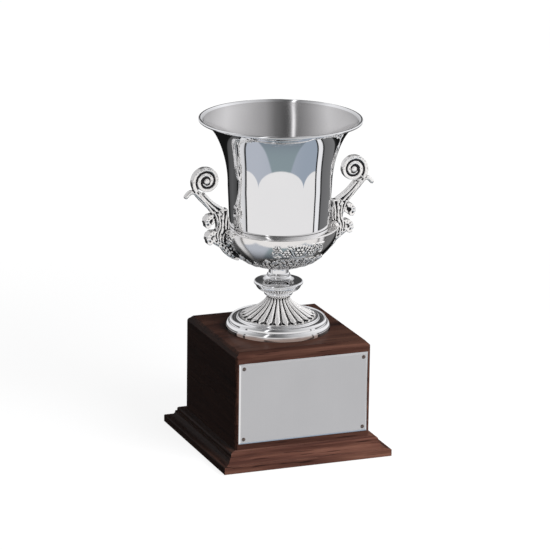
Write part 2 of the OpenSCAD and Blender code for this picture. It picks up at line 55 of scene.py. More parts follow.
# The white sheet that the bowl's front reflects: how far it reaches each side and the arches along its top
PANEL_SHIFT, PANEL_HALF = 1.4, 40.5
ARCH_HALF, ARCH_RISE, ARCH_FOOT = 25.5, 10.2, -2.8


def away(azimuth, elevation):
    """The unit vector from the object towards a viewer at those angles."""
    a, e = math.radians(azimuth), math.radians(elevation)
    return Vector((math.sin(a) * math.cos(e), -math.cos(a) * math.cos(e), math.sin(e)))


def make_camera():
    data = bpy.data.cameras.new("camera")
    data.lens, data.sensor_width = LENS, SENSOR
    data.clip_start, data.clip_end = 0.1, 60.0
    camera = bpy.data.objects.new("camera", data)
    bpy.context.collection.objects.link(camera)
    back = away(AIM_AZ, AIM_EL)
    right = (-back).cross(Vector((0, 0, 1))).normalized()
    up = right.cross(-back)
    roll = math.radians(CAMERA_ROLL)
    turned_right = right * math.cos(roll) + up * math.sin(roll)
    turned_up = up * math.cos(roll) - right * math.sin(roll)
    place = Vector((0, 0, CAMERA_TARGET_Z)) + away(CAMERA_AZ, CAMERA_EL) * CAMERA_DISTANCE
    turn = Matrix((turned_right, turned_up, back)).transposed().to_4x4()
    camera.matrix_world = Matrix.Translation(place) @ turn
    bpy.context.scene.camera = camera


make_camera()


# ---------------------------------------------------------------- node helpers
class Val:
    """A node's output that arithmetic turns into Math nodes."""

    def __init__(self, tree, out):
        self.tree, self.out = tree, out

    def op(self, kind, *others):
        node = self.tree.nodes.new("ShaderNodeMath")
        node.operation = kind
        for socket, value in zip(node.inputs, (self,) + others):
            feed(self.tree, socket, value)
        return Val(self.tree, node.outputs[0])

    def __add__(self, other):
        return self.op("ADD", other)

    def __sub__(self, other):
        return self.op("SUBTRACT", other)

    def __mul__(self, other):
        return self.op("MULTIPLY", other)

    def __truediv__(self, other):
        return self.op("DIVIDE", other)

    def flipped(self):
        """One minus this."""
        return self * -1.0 + 1.0

    def step(self, low, high):
        """Rises smoothly from 0 at low to 1 at high."""
        node = self.tree.nodes.new("ShaderNodeMapRange")
        node.interpolation_type = "SMOOTHSTEP"
        for name, value in (("Value", self), ("From Min", low), ("From Max", high)):
            feed(self.tree, node.inputs[name], value)
        return Val(self.tree, node.outputs["Result"])

    def band(self, low, high, soft):
        """About 1 between low and high and 0 outside, with soft edges."""
        return self.step(low - soft, low + soft) * self.step(high - soft, high + soft).flipped()

    def vault(self):
        """The height of a round arch, 1 in its middle and 0 from 1 on."""
        return self.op("POWER", 2.0).flipped().op("MAXIMUM", 0.0).op("SQRT")

    def arcsine(self):
        """The angle in degrees whose sine this is, held within a quarter turn each way."""
        return self.op("MINIMUM", 1.0).op("MAXIMUM", -1.0).op("ARCSINE") * (180 / math.pi)


def feed(tree, socket, value):
    if isinstance(value, Val):
        tree.links.new(value.out, socket)
    elif isinstance(value, (tuple, list)) and socket.type == "RGBA" and len(value) == 3:
        socket.default_value = (*value, 1.0)
    else:
        socket.default_value = value


class Paint:
    """Short ways to add nodes to a shader tree."""

    def __init__(self, tree):
        self.tree = tree

    def node(self, kind, inputs=None, **settings):
        made = self.tree.nodes.new(kind)
        for name, value in settings.items():
            setattr(made, name, value)
        for name, value in (inputs or {}).items():
            feed(self.tree, made.inputs[name], value)
        return made

    def val(self, node, output=0):
        return Val(self.tree, node.outputs[output])

    def coords(self, scale=(1, 1, 1)):
        source = self.val(self.node("ShaderNodeTexCoord"), "Object")
        return self.val(self.node("ShaderNodeMapping", {"Vector": source, "Scale": scale}))

    def noise(self, vector, scale, detail=2.0, roughness=0.5, distortion=0.0):
        names = ("Vector", "Scale", "Detail", "Roughness", "Distortion")
        inputs = dict(zip(names, (vector, scale, detail, roughness, distortion)))
        return self.val(self.node("ShaderNodeTexNoise", inputs), "Fac")

    def mix(self, amount, first, second):
        node = self.node("ShaderNodeMix", data_type="RGBA")
        for index, value in ((0, amount), (6, first), (7, second)):
            feed(self.tree, node.inputs[index], value)
        return Val(self.tree, node.outputs[2])

    def ramp(self, value, stops):
        node = self.node("ShaderNodeValToRGB", {"Fac": value})
        marks = node.color_ramp.elements
        while len(marks) < len(stops):
            marks.new(0.5)
        for mark, (place, colour) in zip(marks, stops):
            mark.position, mark.color = place, (*colour, 1.0)
        return self.val(node)

    def bump(self, height, distance, strength):
        inputs = {"Height": height, "Distance": distance, "Strength": strength}
        return self.val(self.node("ShaderNodeBump", inputs))


def material(name, build, **fixed):
    """A Principled material. build(paint) returns its linked inputs, and fixed holds plain values."""
    made = bpy.data.materials.new(name)
    made.use_nodes = True
    tree = made.node_tree
    shader = tree.nodes["Principled BSDF"]
    for key, value in {**fixed, **build(Paint(tree))}.items():
        feed(tree, shader.inputs[key.replace("_", " ")], value)
    return made


def finish(name, **fixed):
    """Turns a function that paints a material's linked inputs into that material."""
    return lambda build: material(name, build, **fixed)


# ---------------------------------------------------------------- materials
@finish("polished_silver", Metallic=1.0)
def polished_silver(p):
    cloud = p.noise(p.coords(), 22.0, 3.0)
    haze = p.noise(p.coords((1, 1, 3)), 160.0, 2.0)
    return {
        "Base_Color": p.mix(cloud, (0.90, 0.905, 0.92), (0.94, 0.94, 0.945)),
        "Roughness": haze.step(0.3, 0.8) * 0.035 + 0.03,
        "Normal": p.bump(cloud, 0.0006, 0.08),
    }


def painted_reflection_silver(name, tint, painted_reflection_colour, low_z, high_z, rough):
    """Polished silver of a tint, with a painted reflection below a height in millimetres: there its base
    colour turns to the second colour, which stands in for what the metal reflects.
    """

    def build(p):
        place = p.node("ShaderNodeSeparateXYZ", {0: p.coords()})
        cloud = p.noise(p.coords(), 40.0, 3.0)
        # The painted reflection's mask: 0 below low_z and 1 above high_z, by height alone
        up = (p.val(place, 2) + (cloud - 0.5) * 0.004).step(low_z * MM, high_z * MM)
        return {
            "Base_Color": p.mix(up, painted_reflection_colour, tint),
            "Roughness": cloud * 0.04 + (rough - 0.02),
            "Normal": p.bump(cloud, 0.0006, 0.10),
        }

    return material(name, build, Metallic=1.0)


SILVER, TARNISH = (0.96, 0.945, 0.93), (0.022, 0.021, 0.023)
TARNISH_FROM, TARNISH_TO = 0.50, 0.60


@finish("cast_silver", Metallic=0.68, Specular_IOR_Level=0.3)
def cast_silver(p):
    """Polished on the high parts of the relief and darkened in its hollows."""
    hollow = p.val(p.node("ShaderNodeAttribute", attribute_name="hollow"), "Fac")
    grain = p.noise(p.coords(), 900.0, 3.0)
    dark = (hollow + (grain - 0.5) * 0.15).step(TARNISH_FROM, TARNISH_TO)
    return {
        "Base_Color": p.mix(dark, SILVER, TARNISH),
        "Roughness": dark * 0.25 + 0.07,
        "Normal": p.bump(p.noise(p.coords(), 420.0, 2.0), 0.0003, 0.35),
    }


@finish("spun_satin", Metallic=1.0, Anisotropic=0.85, Anisotropic_Rotation=0.25)
def spun_satin(p):
    """The inside of the bowl, with fine marks that run round it."""
    marks = p.noise(p.coords((4, 4, 1500)), 1.0, 3.0, 0.7)
    patches = p.noise(p.coords((9, 9, 2)), 2.0, 2.0)
    return {
        "Base_Color": p.mix(patches, (0.60, 0.59, 0.59), (0.72, 0.71, 0.71)),
        "Roughness": marks * 0.06 + 0.14,
        "Normal": p.bump(marks, 0.0002, 0.04),
        "Tangent": p.val(p.node("ShaderNodeTangent", direction_type="RADIAL", axis="Z")),
    }


@finish("satin_plate", Metallic=1.0)
def satin_plate(p):
    grain = p.noise(p.coords((1400, 6, 10)), 1.0, 3.0, 0.65)
    patches = p.noise(p.coords((6, 1, 4)), 4.0, 2.0)
    return {
        "Base_Color": p.mix(patches * 0.6 + grain * 0.4, (0.62, 0.62, 0.63), (0.72, 0.72, 0.73)),
        "Roughness": grain * 0.12 + 0.30,
        "Normal": p.bump(grain, 0.00015, 0.3),
    }


@finish("zinc_steel", Metallic=1.0)
def zinc_steel(p):
    spots = p.noise(p.coords(), 300.0, 4.0)
    return {
        "Base_Color": p.mix(spots, (0.42, 0.42, 0.40), (0.62, 0.62, 0.60)),
        "Roughness": spots * 0.2 + 0.3,
    }


@finish("dark_nail", Metallic=1.0)
def dark_nail(p):
    spots = p.noise(p.coords(), 500.0, 3.0)
    return {
        "Base_Color": p.mix(spots, (0.14, 0.105, 0.09), (0.30, 0.24, 0.21)),
        "Roughness": spots * 0.1 + 0.12,
    }


WALNUT_TONES = (
    (0.30, (0.026, 0.010, 0.0085)),
    (0.44, (0.078, 0.033, 0.024)),
    (0.56, (0.140, 0.064, 0.045)),
    (0.72, (0.210, 0.102, 0.070)),
)
PORE, PORE_FROM, PORE_TO = (0.010, 0.004, 0.004), 0.60, 0.70


def walnut(name, along, offset, light):
    """Lacquered walnut whose grain runs along X (0) or Y (1), with a figure of its own by offset, and its
    colours scaled by light, which is painted light and shade for each board.
    """
    across, fine = [46.0] * 3, [520.0] * 3
    across[along], fine[along] = 2.6, 26.0

    def build(p):
        place = p.val(p.node("ShaderNodeTexCoord"), "Object")
        moved = p.val(p.node("ShaderNodeVectorMath", {0: place, 1: offset}, operation="ADD"))

        def figure(scale, *kind):
            stretched = p.node("ShaderNodeMapping", {"Vector": moved, "Scale": tuple(scale)})
            return p.noise(p.val(stretched), 1.0, *kind)

        rings = [c * 4.2 for c in across]
        tone = figure(across, 4.0, 0.55, 0.8) * 0.62 + figure(rings, 3.0, 0.6, 0.4) * 0.38
        pits = figure(fine, 2.0, 0.5).step(PORE_FROM, PORE_TO)
        # light scales the wood's colours: painted light and shade for this board
        wood = p.ramp(tone, [(at, [c * light for c in colour]) for at, colour in WALNUT_TONES])
        return {
            "Base_Color": p.mix(pits * 0.75, wood, PORE),
            "Roughness": tone * 0.15 + 0.38,
            "Normal": p.bump(pits.flipped() * 0.7 + tone * 0.3, 0.0002, 0.35),
        }

    return material(name, build, Coat_Weight=0.06, Coat_Roughness=0.10, Specular_IOR_Level=0.02)


@finish("plain_wood")
def plain_wood(p):
    streaks = p.noise(p.coords((60, 14, 60)), 3.0, 4.0)
    return {
        "Base_Color": p.ramp(streaks, [(0.3, (0.30, 0.18, 0.09)), (0.7, (0.52, 0.36, 0.20))]),
        "Roughness": streaks * 0.2 + 0.6,
        "Normal": p.bump(streaks, 0.0003, 0.4),
    }


@finish("felt")
def felt(p):
    fibres = p.noise(p.coords(), 900.0, 5.0, 0.7)
    return {
        "Base_Color": p.mix(fibres, (0.006, 0.012, 0.008), (0.025, 0.04, 0.03)),
        "Roughness": fibres * 0.1 + 0.88,
        "Normal": p.bump(fibres, 0.0006, 0.8),
    }


# ---------------------------------------------------------------- mesh helpers
def grid_faces(rows, columns, wrap_rows=False, wrap_columns=False, start=0):
    """Quads over a grid of points stored row by row."""
    i = np.arange(rows if wrap_rows else rows - 1)[:, None]
    j = np.arange(columns if wrap_columns else columns - 1)[None, :]
    i2, j2 = (i + 1) % rows, (j + 1) % columns
    corners = [i * columns + j, i2 * columns + j, i2 * columns + j2, i * columns + j2]
    return np.stack([c.ravel() for c in corners], 1) + start


def tube_faces(rows, columns, turned_over=False):
    """The faces of a tube of closed rows, with a cap on each end."""
    first, last = list(range(columns)), list(range((rows - 1) * columns, rows * columns))
    caps = [first, last[::-1]] if turned_over else [first[::-1], last]
    return [list(f) for f in grid_faces(rows, columns, False, True)] + caps


def face_outwards(mesh, merge=False):
    """Turns a mesh's faces outwards, after merging the points that lie on each other if asked."""
    work = bmesh.new()
    work.from_mesh(mesh)
    if merge:
        bmesh.ops.remove_doubles(work, verts=work.verts, dist=1e-7)
        bmesh.ops.dissolve_degenerate(work, edges=work.edges, dist=1e-8)
    bmesh.ops.recalc_face_normals(work, faces=work.faces)
    work.to_mesh(mesh)
    work.free()


def piece(name, points, faces, looks, nodes, smooth, slot="polished_silver", tidy=True):
    """A mesh in millimetres made into a named piece on the base, standing for those CAD nodes."""
    mesh = bpy.data.meshes.new(name)
    mesh.from_pydata((np.asarray(points, float) * MM).tolist(), [], [list(map(int, f)) for f in faces])
    if tidy:
        face_outwards(mesh, True)
    return dress(mesh, name, looks, slot, nodes, smooth)


def dress(mesh, name, looks, slot, nodes, smooth):
    """Puts a mesh in the scene on the base, with its materials and with sharp edges above an angle."""
    mesh.shade_smooth()
    mesh.set_sharp_from_angle(angle=math.radians(smooth))
    for item in looks if isinstance(looks, list) else [looks]:
        mesh.materials.append(item)
    made = bpy.data.objects.new(name, mesh)
    bpy.context.collection.objects.link(made)
    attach(made, "root")
    if nodes:
        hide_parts(*nodes)
    return made


def full_turn(count):
    """Count angles in radians evenly round the axis, as a column."""
    return np.linspace(0, 2 * np.pi, count, endpoint=False)[:, None]


def about_z(r, turn, z):
    """Points at a radius and a height, turned about Z."""
    return np.stack(np.broadcast_arrays(r * np.cos(turn), r * np.sin(turn), z), -1)


def turned(name, profile, segments, looks, nodes, smooth=50, slot="polished_silver"):
    """A piece made by turning a closed outline of (r, z) about Z."""
    profile = np.asarray(profile, float)
    points = about_z(profile[:, 0], full_turn(segments), profile[:, 1]).reshape(-1, 3)
    faces = grid_faces(segments, len(profile), True, True)
    return piece(name, points, faces, looks, nodes, smooth, slot)


def cast(name, points, faces, nodes, reach, gain):
    """A piece of cast silver, with its hollows found for the material."""
    hollows(piece(name, points, faces, cast_silver, nodes, 60).data, reach, gain)


def overlay(height, relief, level=1.0):
    """Lays one leaf's relief over what is there. Outside the leaf it is below zero."""
    return np.maximum(height, np.where(relief > -0.5, relief * level, -1))


def fade_in(count):
    """Rises from 0 to 1 over the first few of count places and falls again over the last few."""
    steps = np.arange(count)
    return np.minimum(1, np.minimum(steps, steps[::-1]) / 4)


def arc(cx, cz, rx, start, end, rz=None, steps=16):
    a = np.radians(np.linspace(start, end, steps + 1))
    rz = rx if rz is None else rz
    return [(cx + rx * math.cos(t), cz + rz * math.sin(t)) for t in a]


def rounded(points, radius, sharper_than=24.0):
    """A closed outline with its sharp corners turned into small curves."""
    points = [np.array(p, float) for p in points]
    clean = [p for i, p in enumerate(points) if np.hypot(*(p - points[i - 1])) > 1e-6]
    out = []
    for i, here in enumerate(clean):
        before, after = clean[i - 1], clean[(i + 1) % len(clean)]
        a, b = before - here, after - here
        la, lb = np.hypot(*a), np.hypot(*b)
        turn = math.degrees(math.acos(np.clip(-a @ b / (la * lb), -1, 1)))
        if turn < sharper_than or here[0] < 1e-6:
            out.append(here)
            continue
        cut = min(radius, 0.45 * la, 0.45 * lb)
        first, last = here + a / la * cut, here + b / lb * cut
        for t in np.linspace(0, 1, 5):
            out.append((1 - t) ** 2 * first + 2 * t * (1 - t) * here + t * t * last)
    return out


def surface(mesh):
    """Where a mesh's vertices are and how they face, one row each."""
    spots = np.empty(len(mesh.vertices) * 3)
    mesh.vertices.foreach_get("co", spots)
    normals = np.empty(len(spots), np.float32)
    mesh.vertex_normals.foreach_get("vector", normals)
    return spots.reshape(-1, 3), normals.reshape(-1, 3).astype(float)


def hollows(mesh, reach, gain):
    """Stores how hollow the surface is at each vertex, 0.5 where flat, for the cast silver to read."""
    spots, normals = surface(mesh)
    count = len(spots)
    edges = np.empty(len(mesh.edges) * 2, np.int32)
    mesh.edges.foreach_get("vertices", edges)
    a, b = edges.reshape(-1, 2).T
    links = np.maximum(np.bincount(a, minlength=count) + np.bincount(b, minlength=count), 1)

    def averaged(values):
        total = np.bincount(a, values[b], count) + np.bincount(b, values[a], count)
        return total / links

    blurred = spots.copy()
    for _ in range(reach * 2):
        blurred = np.stack([averaged(blurred[:, k]) for k in range(3)], 1)
    depth = ((blurred - spots) * normals).sum(1)
    for _ in range(reach):
        depth = 0.5 * depth + 0.5 * averaged(depth)
    value = np.clip(0.5 + depth / MM * gain, 0, 1)
    layer = mesh.attributes.new("hollow", "FLOAT", "POINT")
    layer.data.foreach_set("value", value.astype(np.float32))


# ---------------------------------------------------------------- sizes, in millimetres
FINE, ROUND, SMALL = 320, 256, 192  # how many segments a turned piece has


def low(node, axis):
    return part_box(node)[0][axis] / MM


def high(node, axis):
    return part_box(node)[1][axis] / MM


BOWL_Z, RIM_Z, RIM_R = low("bowl", 2), high("bowl", 2), high("bowl", 0)
BOWL_R, BOWL_ROUND, SEAT_R = 55.2, 8.0, 45.0
FLARE_H, LIP_R, BOWL_WALL, LINING = 70.0, 1.5, 1.5, 0.35
FLARE_Z, FLARE_W = RIM_Z - LIP_R - FLARE_H, RIM_R - LIP_R - BOWL_R
CALYX_BASE_Z = low("calyx", 2)
CALYX_R, CALYX_DEPTH = high("calyx", 0), 43.6
SHOULDER_W, SHOULDER_H, SEAT_DEPTH = 8.0, 2.5, 6.5
CALYX_Z = BOWL_Z + SEAT_DEPTH - SHOULDER_H
CALYX_LIP_R = CALYX_R - SHOULDER_W
NECK_Z, NECK_R, WAIST_R = low("stem_neck", 2), 11.5, 10.6
KNOP_Z, KNOP_R, KNOP_FOOT_R = low("knop", 2), high("knop", 0), 15.5
COLLAR_Z, COLLAR_TOP = low("collar_ring", 2), high("collar_ring", 2)
TRUMPET_Z, TRUMPET_H = low("foot_trumpet", 2), 23.7
TRUMPET_R, TRUMPET_TOP_R = 40.5, 11.0
FOOT_Z, FOOT_R, FOOT_H = low("foot_rim", 2), high("foot_rim", 0), 14.0
BLOCK_TOP = high("top_board", 2)
PLATE_LOW, PLATE_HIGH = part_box("engraving_plate")
BORE_R = 3.3


# ---------------------------------------------------------------- bowl
def flare_point(t, depth):
    slope = (1.44 * t + 3.08 * t**10) * FLARE_W / FLARE_H
    n = math.hypot(1, slope)
    shape = 0.72 * t * t + 0.28 * t**11
    return (BOWL_R + FLARE_W * shape - depth / n, FLARE_Z + FLARE_H * t + depth * slope / n)


def bowl_line(depth, top=1.0):
    line = [(0.0, BOWL_Z + depth), (SEAT_R * 0.5, BOWL_Z + depth)]
    line += arc(SEAT_R, BOWL_Z + BOWL_ROUND, BOWL_ROUND - depth, 270, 360)
    (r, z), (join_r, join_z) = line[-1], flare_point(0, depth)
    line += [(r + (join_r - r) * t, z + (join_z - z) * t) for t in (0.25, 0.5, 0.75)]
    return line + [flare_point(top * i / 60, depth) for i in range(61)]


def make_bowl():
    lip = arc(RIM_R - LIP_R, RIM_Z - LIP_R, LIP_R, -60, 150, steps=20)
    shell = bowl_line(0, 0.985) + lip + bowl_line(BOWL_WALL - LINING, 0.985)[::-1]
    turned("bowl_shell", shell, FINE, polished_silver, ("bowl",))
    inner = bowl_line(BOWL_WALL, 0.975)
    outer = bowl_line(BOWL_WALL - LINING - 0.05, 0.975)
    turned("bowl_lining", inner + outer[::-1], FINE, spun_satin, (), slot="satin_silver")


# ---------------------------------------------------------------- cast leaves
def leaf(x, y, base, aim, length, width, bend, lobes):
    """The height, 0 to 1, of a lobed leaf drawn on a plane, and how far inside its outline each point is.

    aim is the leaf's direction in degrees and bend how much it turns on its way to the tip."""
    dx, dy = x - base[0], y - base[1]
    t = math.radians(aim)
    if abs(bend) < 1e-3:
        u = (dx * math.cos(t) + dy * math.sin(t)) / length
        v = (-dx * math.sin(t) + dy * math.cos(t)) / width
    else:
        radius = length / math.radians(bend)
        cx, cy = -math.sin(t) * radius, math.cos(t) * radius
        ex, ey = dx - cx, dy - cy
        start = math.atan2(-cy, -cx)
        turn = np.arctan2(ey, ex) - start
        turn = (turn + np.pi) % (2 * np.pi) - np.pi
        u = turn / math.radians(bend)
        v = (abs(radius) - np.hypot(ex, ey)) / width * np.sign(radius)
    inside = (u > 0) & (u < 1)
    uc = np.clip(u, 0, 1)
    shape = np.sqrt(np.clip(uc, 0, 1)) ** 0.7 * np.clip(1 - uc, 0, 1) ** 0.55 * 1.55
    lobe_at = np.abs(np.sin(np.pi * lobes * (uc - 0.22 * np.abs(v)))) ** 0.6
    edge = shape * (0.62 + 0.38 * lobe_at)
    share = np.abs(v) / np.maximum(edge, 1e-3)
    body = np.clip(1 - share**4, 0, 1) ** 0.7
    rib = np.exp(-((v / 0.10) ** 2)) * 0.30 - np.exp(-(((np.abs(v) - 0.24) / 0.10) ** 2)) * 0.22
    height = body * (0.22 + 0.62 * lobe_at + rib) * (0.72 + 0.42 * uc)
    return np.where(inside & (share < 1), height * 0.9, -1.0)


def rosette(x, y, centre, radius):
    """The height of a small flower of six petals round an eye."""
    dx, dy = x - centre[0], y - centre[1]
    r = np.hypot(dx, dy) / radius
    a = np.arctan2(dy, dx)
    petal = np.abs(np.cos(a * 6 / 2))
    edge = 0.72 + 0.28 * petal
    ring = np.clip(1 - np.abs(r - 0.62) / 0.42, 0, 1) ** 0.6 * (0.45 + 0.55 * petal)
    eye = np.clip(1 - (r / 0.27) ** 2, 0, 1) ** 0.5
    return np.where(r < edge, np.maximum(ring, eye * 0.95), -1.0)


def below(share):
    """The calyx's angle in degrees, below its widest line, where its radius is that share of the widest."""
    return -math.degrees(math.acos(share))


def calyx_point(angle, turn, off):
    """A point on the calyx's ellipse, angle in degrees below its widest line, moved out by off."""
    a = np.radians(angle)
    nx, nz = np.cos(a) * CALYX_DEPTH, np.sin(a) * CALYX_R
    size = np.hypot(nx, nz)
    r = CALYX_R * np.cos(a) + off * nx / size
    z = CALYX_Z + CALYX_DEPTH * np.sin(a) + off * nz / size
    return about_z(r, turn, z)


def closed_patch(outer, inner):
    """Points and faces of a slab between two grids of the same size, with its four sides."""
    rows, columns = outer.shape[:2]
    points = np.concatenate([outer.reshape(-1, 3), inner.reshape(-1, 3)])
    size = rows * columns
    top = grid_faces(rows, columns)
    faces = [top, top[:, ::-1] + size]
    edge = np.concatenate(
        [
            np.arange(columns),
            columns - 1 + columns * np.arange(1, rows),
            columns * (rows - 1) + np.arange(columns - 2, -1, -1),
            columns * np.arange(rows - 2, 0, -1),
        ]
    )
    after = np.roll(edge, -1)
    faces.append(np.stack([edge, after, after + size, edge + size], 1))
    return points, np.concatenate(faces)


LEAF_COUNT, LEAF_T, WHORL_SHARE = 10, 1.8, 0.872
SPRAY_HALF, RELIEF_UNDER = 31.0, -0.9  # half the spray's width, and how deep the relief's back lies
HOLLOW_REACH, HOLLOW_GAIN = 6, 3.6
FILL_FROM, FILL_TALL = 20.0, 28.0


def make_calyx():
    neck = below(NECK_R / CALYX_R)
    thick = 2.0
    outside = [(BORE_R, CALYX_BASE_Z)] + arc(0, CALYX_Z, CALYX_R, neck, 0, CALYX_DEPTH, 90)
    outside += arc(CALYX_LIP_R, CALYX_Z, SHOULDER_W, 0, 90, SHOULDER_H, 24)
    seat_r = SEAT_R - 8.0
    outside += [(CALYX_LIP_R, BOWL_Z), (seat_r, BOWL_Z)]
    outside += [(seat_r, BOWL_Z - thick), (CALYX_LIP_R + thick, BOWL_Z - thick)]
    inside = arc(CALYX_LIP_R, CALYX_Z, SHOULDER_W - thick, 70, 0, SHOULDER_H - thick, 12)
    inside += arc(0, CALYX_Z, CALYX_R - thick, 0, neck, CALYX_DEPTH - thick, 60)
    profile = outside + inside + [(BORE_R, CALYX_BASE_Z + 2 * thick)]
    # Painted reflection: below its middle the calyx turns near black, painted shade that stands in for the
    # dark it reflects there
    tint, painted_reflection_colour = (0.95, 0.935, 0.92), (0.05, 0.047, 0.045)
    looks = painted_reflection_silver("calyx_silver_painted_shade", tint, painted_reflection_colour, CALYX_Z - 26, CALYX_Z - 9, 0.15)
    turned("calyx_cup", rounded(profile, 0.6, 40), FINE, looks, ("calyx",))
    make_whorl()


def make_whorl():
    """The ring of leaves round the calyx's foot, two rows of them, the back row between the front ones."""
    around, along, tall = 1080, 170, 46.0
    first = below(0.225)
    last = below(WHORL_SHARE)
    angle = np.linspace(first, last, along)[None, :]
    turn = full_turn(around)
    reach = (angle - first) / (last - first) * tall
    step = 2 * np.pi / LEAF_COUNT
    height = np.full((around, along), -1.0)
    for shift, length, width, lobes, level in ((0.5, 45.0, 10.4, 4, 1.0), (0.0, 36.0, 7.8, 4, 0.6)):
        local = (turn - shift * step + step / 2) % step - step / 2
        across = local * (CALYX_R * np.cos(np.radians(angle)))
        height = overlay(height, leaf(reach, across, (0, 0), 0, length, width, 0, lobes), level)
    # Under the two sprays the foliage goes on down between the leaves
    for middle, seed in ((1.5 * np.pi, 21), (0.5 * np.pi, 22)):
        across = (turn - middle) * CALYX_R * np.cos(np.radians(angle)) ** 0.5
        fill = spray_heights(across, reach - FILL_FROM, SPRAY_HALF, FILL_TALL, seed)
        near = (np.abs(turn - middle) < math.radians(31)) & (reach > FILL_FROM)
        height = np.where(near & (fill > -0.5), np.maximum(height * 0.9, fill * 0.85), height)
    beads = (turn * 30 / np.pi % 2) - 1
    foot = np.clip(1 - np.abs(beads) ** 2 - ((reach - 1.4) / 1.3) ** 2, 0, 1) ** 0.5
    height = np.maximum(height, np.where(foot > 0, foot * 0.8, -1))
    off = np.where(height < 0, -0.35, 0.15 + height * (LEAF_T - 0.2))
    outer = calyx_point(angle, turn, off)
    inner = calyx_point(angle, turn, RELIEF_UNDER)
    ring = np.concatenate([outer, inner[:, ::-1]], 1)
    faces = grid_faces(around, 2 * along, True, True)
    cast("leaf_whorl", ring.reshape(-1, 3), faces, (), HOLLOW_REACH, HOLLOW_GAIN)


def spray_heights(across, up, width, tall, seed):
    """Relief heights over a patch: a fan of long leaves, flowers, and small leaves scattered to fill it."""
    height = np.full(np.broadcast(across, up).shape, -1.0)
    across, up = across + 0 * up, up + 0 * across
    for aim in (90, 76, 104, 62, 118, 48, 132, 34, 146):
        spread = math.radians(aim)
        reach = min(tall + 3, (width + 3) / max(abs(math.cos(spread)), 0.05))
        height = overlay(height, leaf(across, up, (0, -2), aim, reach, 5.2, (90 - aim) * 0.5, 3), 0.5)
    rng = np.random.default_rng(seed)
    for _ in range(int(width * tall / 22)):
        x, y = rng.uniform(-width, width), rng.uniform(0, tall)
        aim = math.degrees(math.atan2(y + 8, x)) + rng.uniform(-55, 55)
        size = rng.uniform(9.0, 15.0)
        width_of, bend, level = size * rng.uniform(0.26, 0.34), rng.uniform(-70, 70), rng.uniform(0.45, 1.0)
        height = overlay(height, leaf(across, up, (x, y), aim, size, width_of, bend, 2), level)
    for x, y, size in ((0, 0.5, 6.0), (-0.46, 0.4, 5.0), (0.46, 0.4, 5.0), (-0.8, 0.7, 4.2), (0.8, 0.7, 4.2)):
        height = np.maximum(height, rosette(across, up, (x * width, y * tall), size))
    return height


def make_spray(name, direction):
    """A cast spray of leaves and small flowers on the calyx."""
    rows, columns, tall = 300, 100, 18.6
    half = math.radians(29)
    first = below(0.88)
    last = below(0.995)
    turn = np.linspace(-half, half, rows)[:, None]
    angle = np.linspace(first, last, columns)[None, :]
    up = (angle - first) / (last - first) * tall
    across = -turn * CALYX_R * np.cos(np.radians(angle)) ** 0.5
    height = spray_heights(across, up, SPRAY_HALF, tall, 11 if direction > 180 else 12)
    off = np.where(height < 0, -0.3, 0.2 + height * (LEAF_T - 0.25))
    off = -0.3 + (off + 0.3) * np.minimum(fade_in(rows)[:, None], fade_in(columns)[None, :])
    place = math.radians(direction) + turn
    back = calyx_point(angle, place, RELIEF_UNDER + 0 * off)
    points, faces = closed_patch(calyx_point(angle, place, off), back)
    cast(name, points, faces, (name,), HOLLOW_REACH, HOLLOW_GAIN)


# ---------------------------------------------------------------- stem and foot
def make_stem():
    z = NECK_Z
    neck = [(BORE_R, z), (NECK_R + 0.9, z), (NECK_R + 0.9, z + 1.4)]
    height = CALYX_BASE_Z - z - 1.4
    neck += arc(NECK_R, z + 1.4 + height / 2, NECK_R - WAIST_R, 270, 90, height / 2, 20)
    neck += [(BORE_R, CALYX_BASE_Z)]
    turned("neck", rounded(neck, 0.35), SMALL, polished_silver, ("stem_neck",))
    dish_h, edge_h, cap_h = 7.0, 3.6, 6.0
    edge_z, cap_r = KNOP_Z + dish_h, KNOP_R - 1.2
    knop = [(BORE_R, KNOP_Z)]
    knop += arc(KNOP_FOOT_R, edge_z, KNOP_R - 2 - KNOP_FOOT_R, 270, 360, dish_h, 32)
    knop += arc(KNOP_R - edge_h / 2, edge_z + edge_h / 2, edge_h / 2, -80, 70, None, 16)
    knop += arc(cap_r, NECK_Z, cap_r - NECK_R - 1.2, 270, 180, cap_h, 32)
    knop += [(BORE_R, NECK_Z)]
    turned("knop_turned", rounded(knop, 0.35), ROUND, polished_silver, ("knop",))
    section, collar_r = 2.7, 12.6
    ring = [(BORE_R, COLLAR_Z)] + arc(collar_r, COLLAR_Z + section, section, -90, 90, None, 32)
    ring += [(BORE_R, COLLAR_TOP)]
    turned("collar", ring, SMALL, polished_silver, ("collar_ring",), 60)


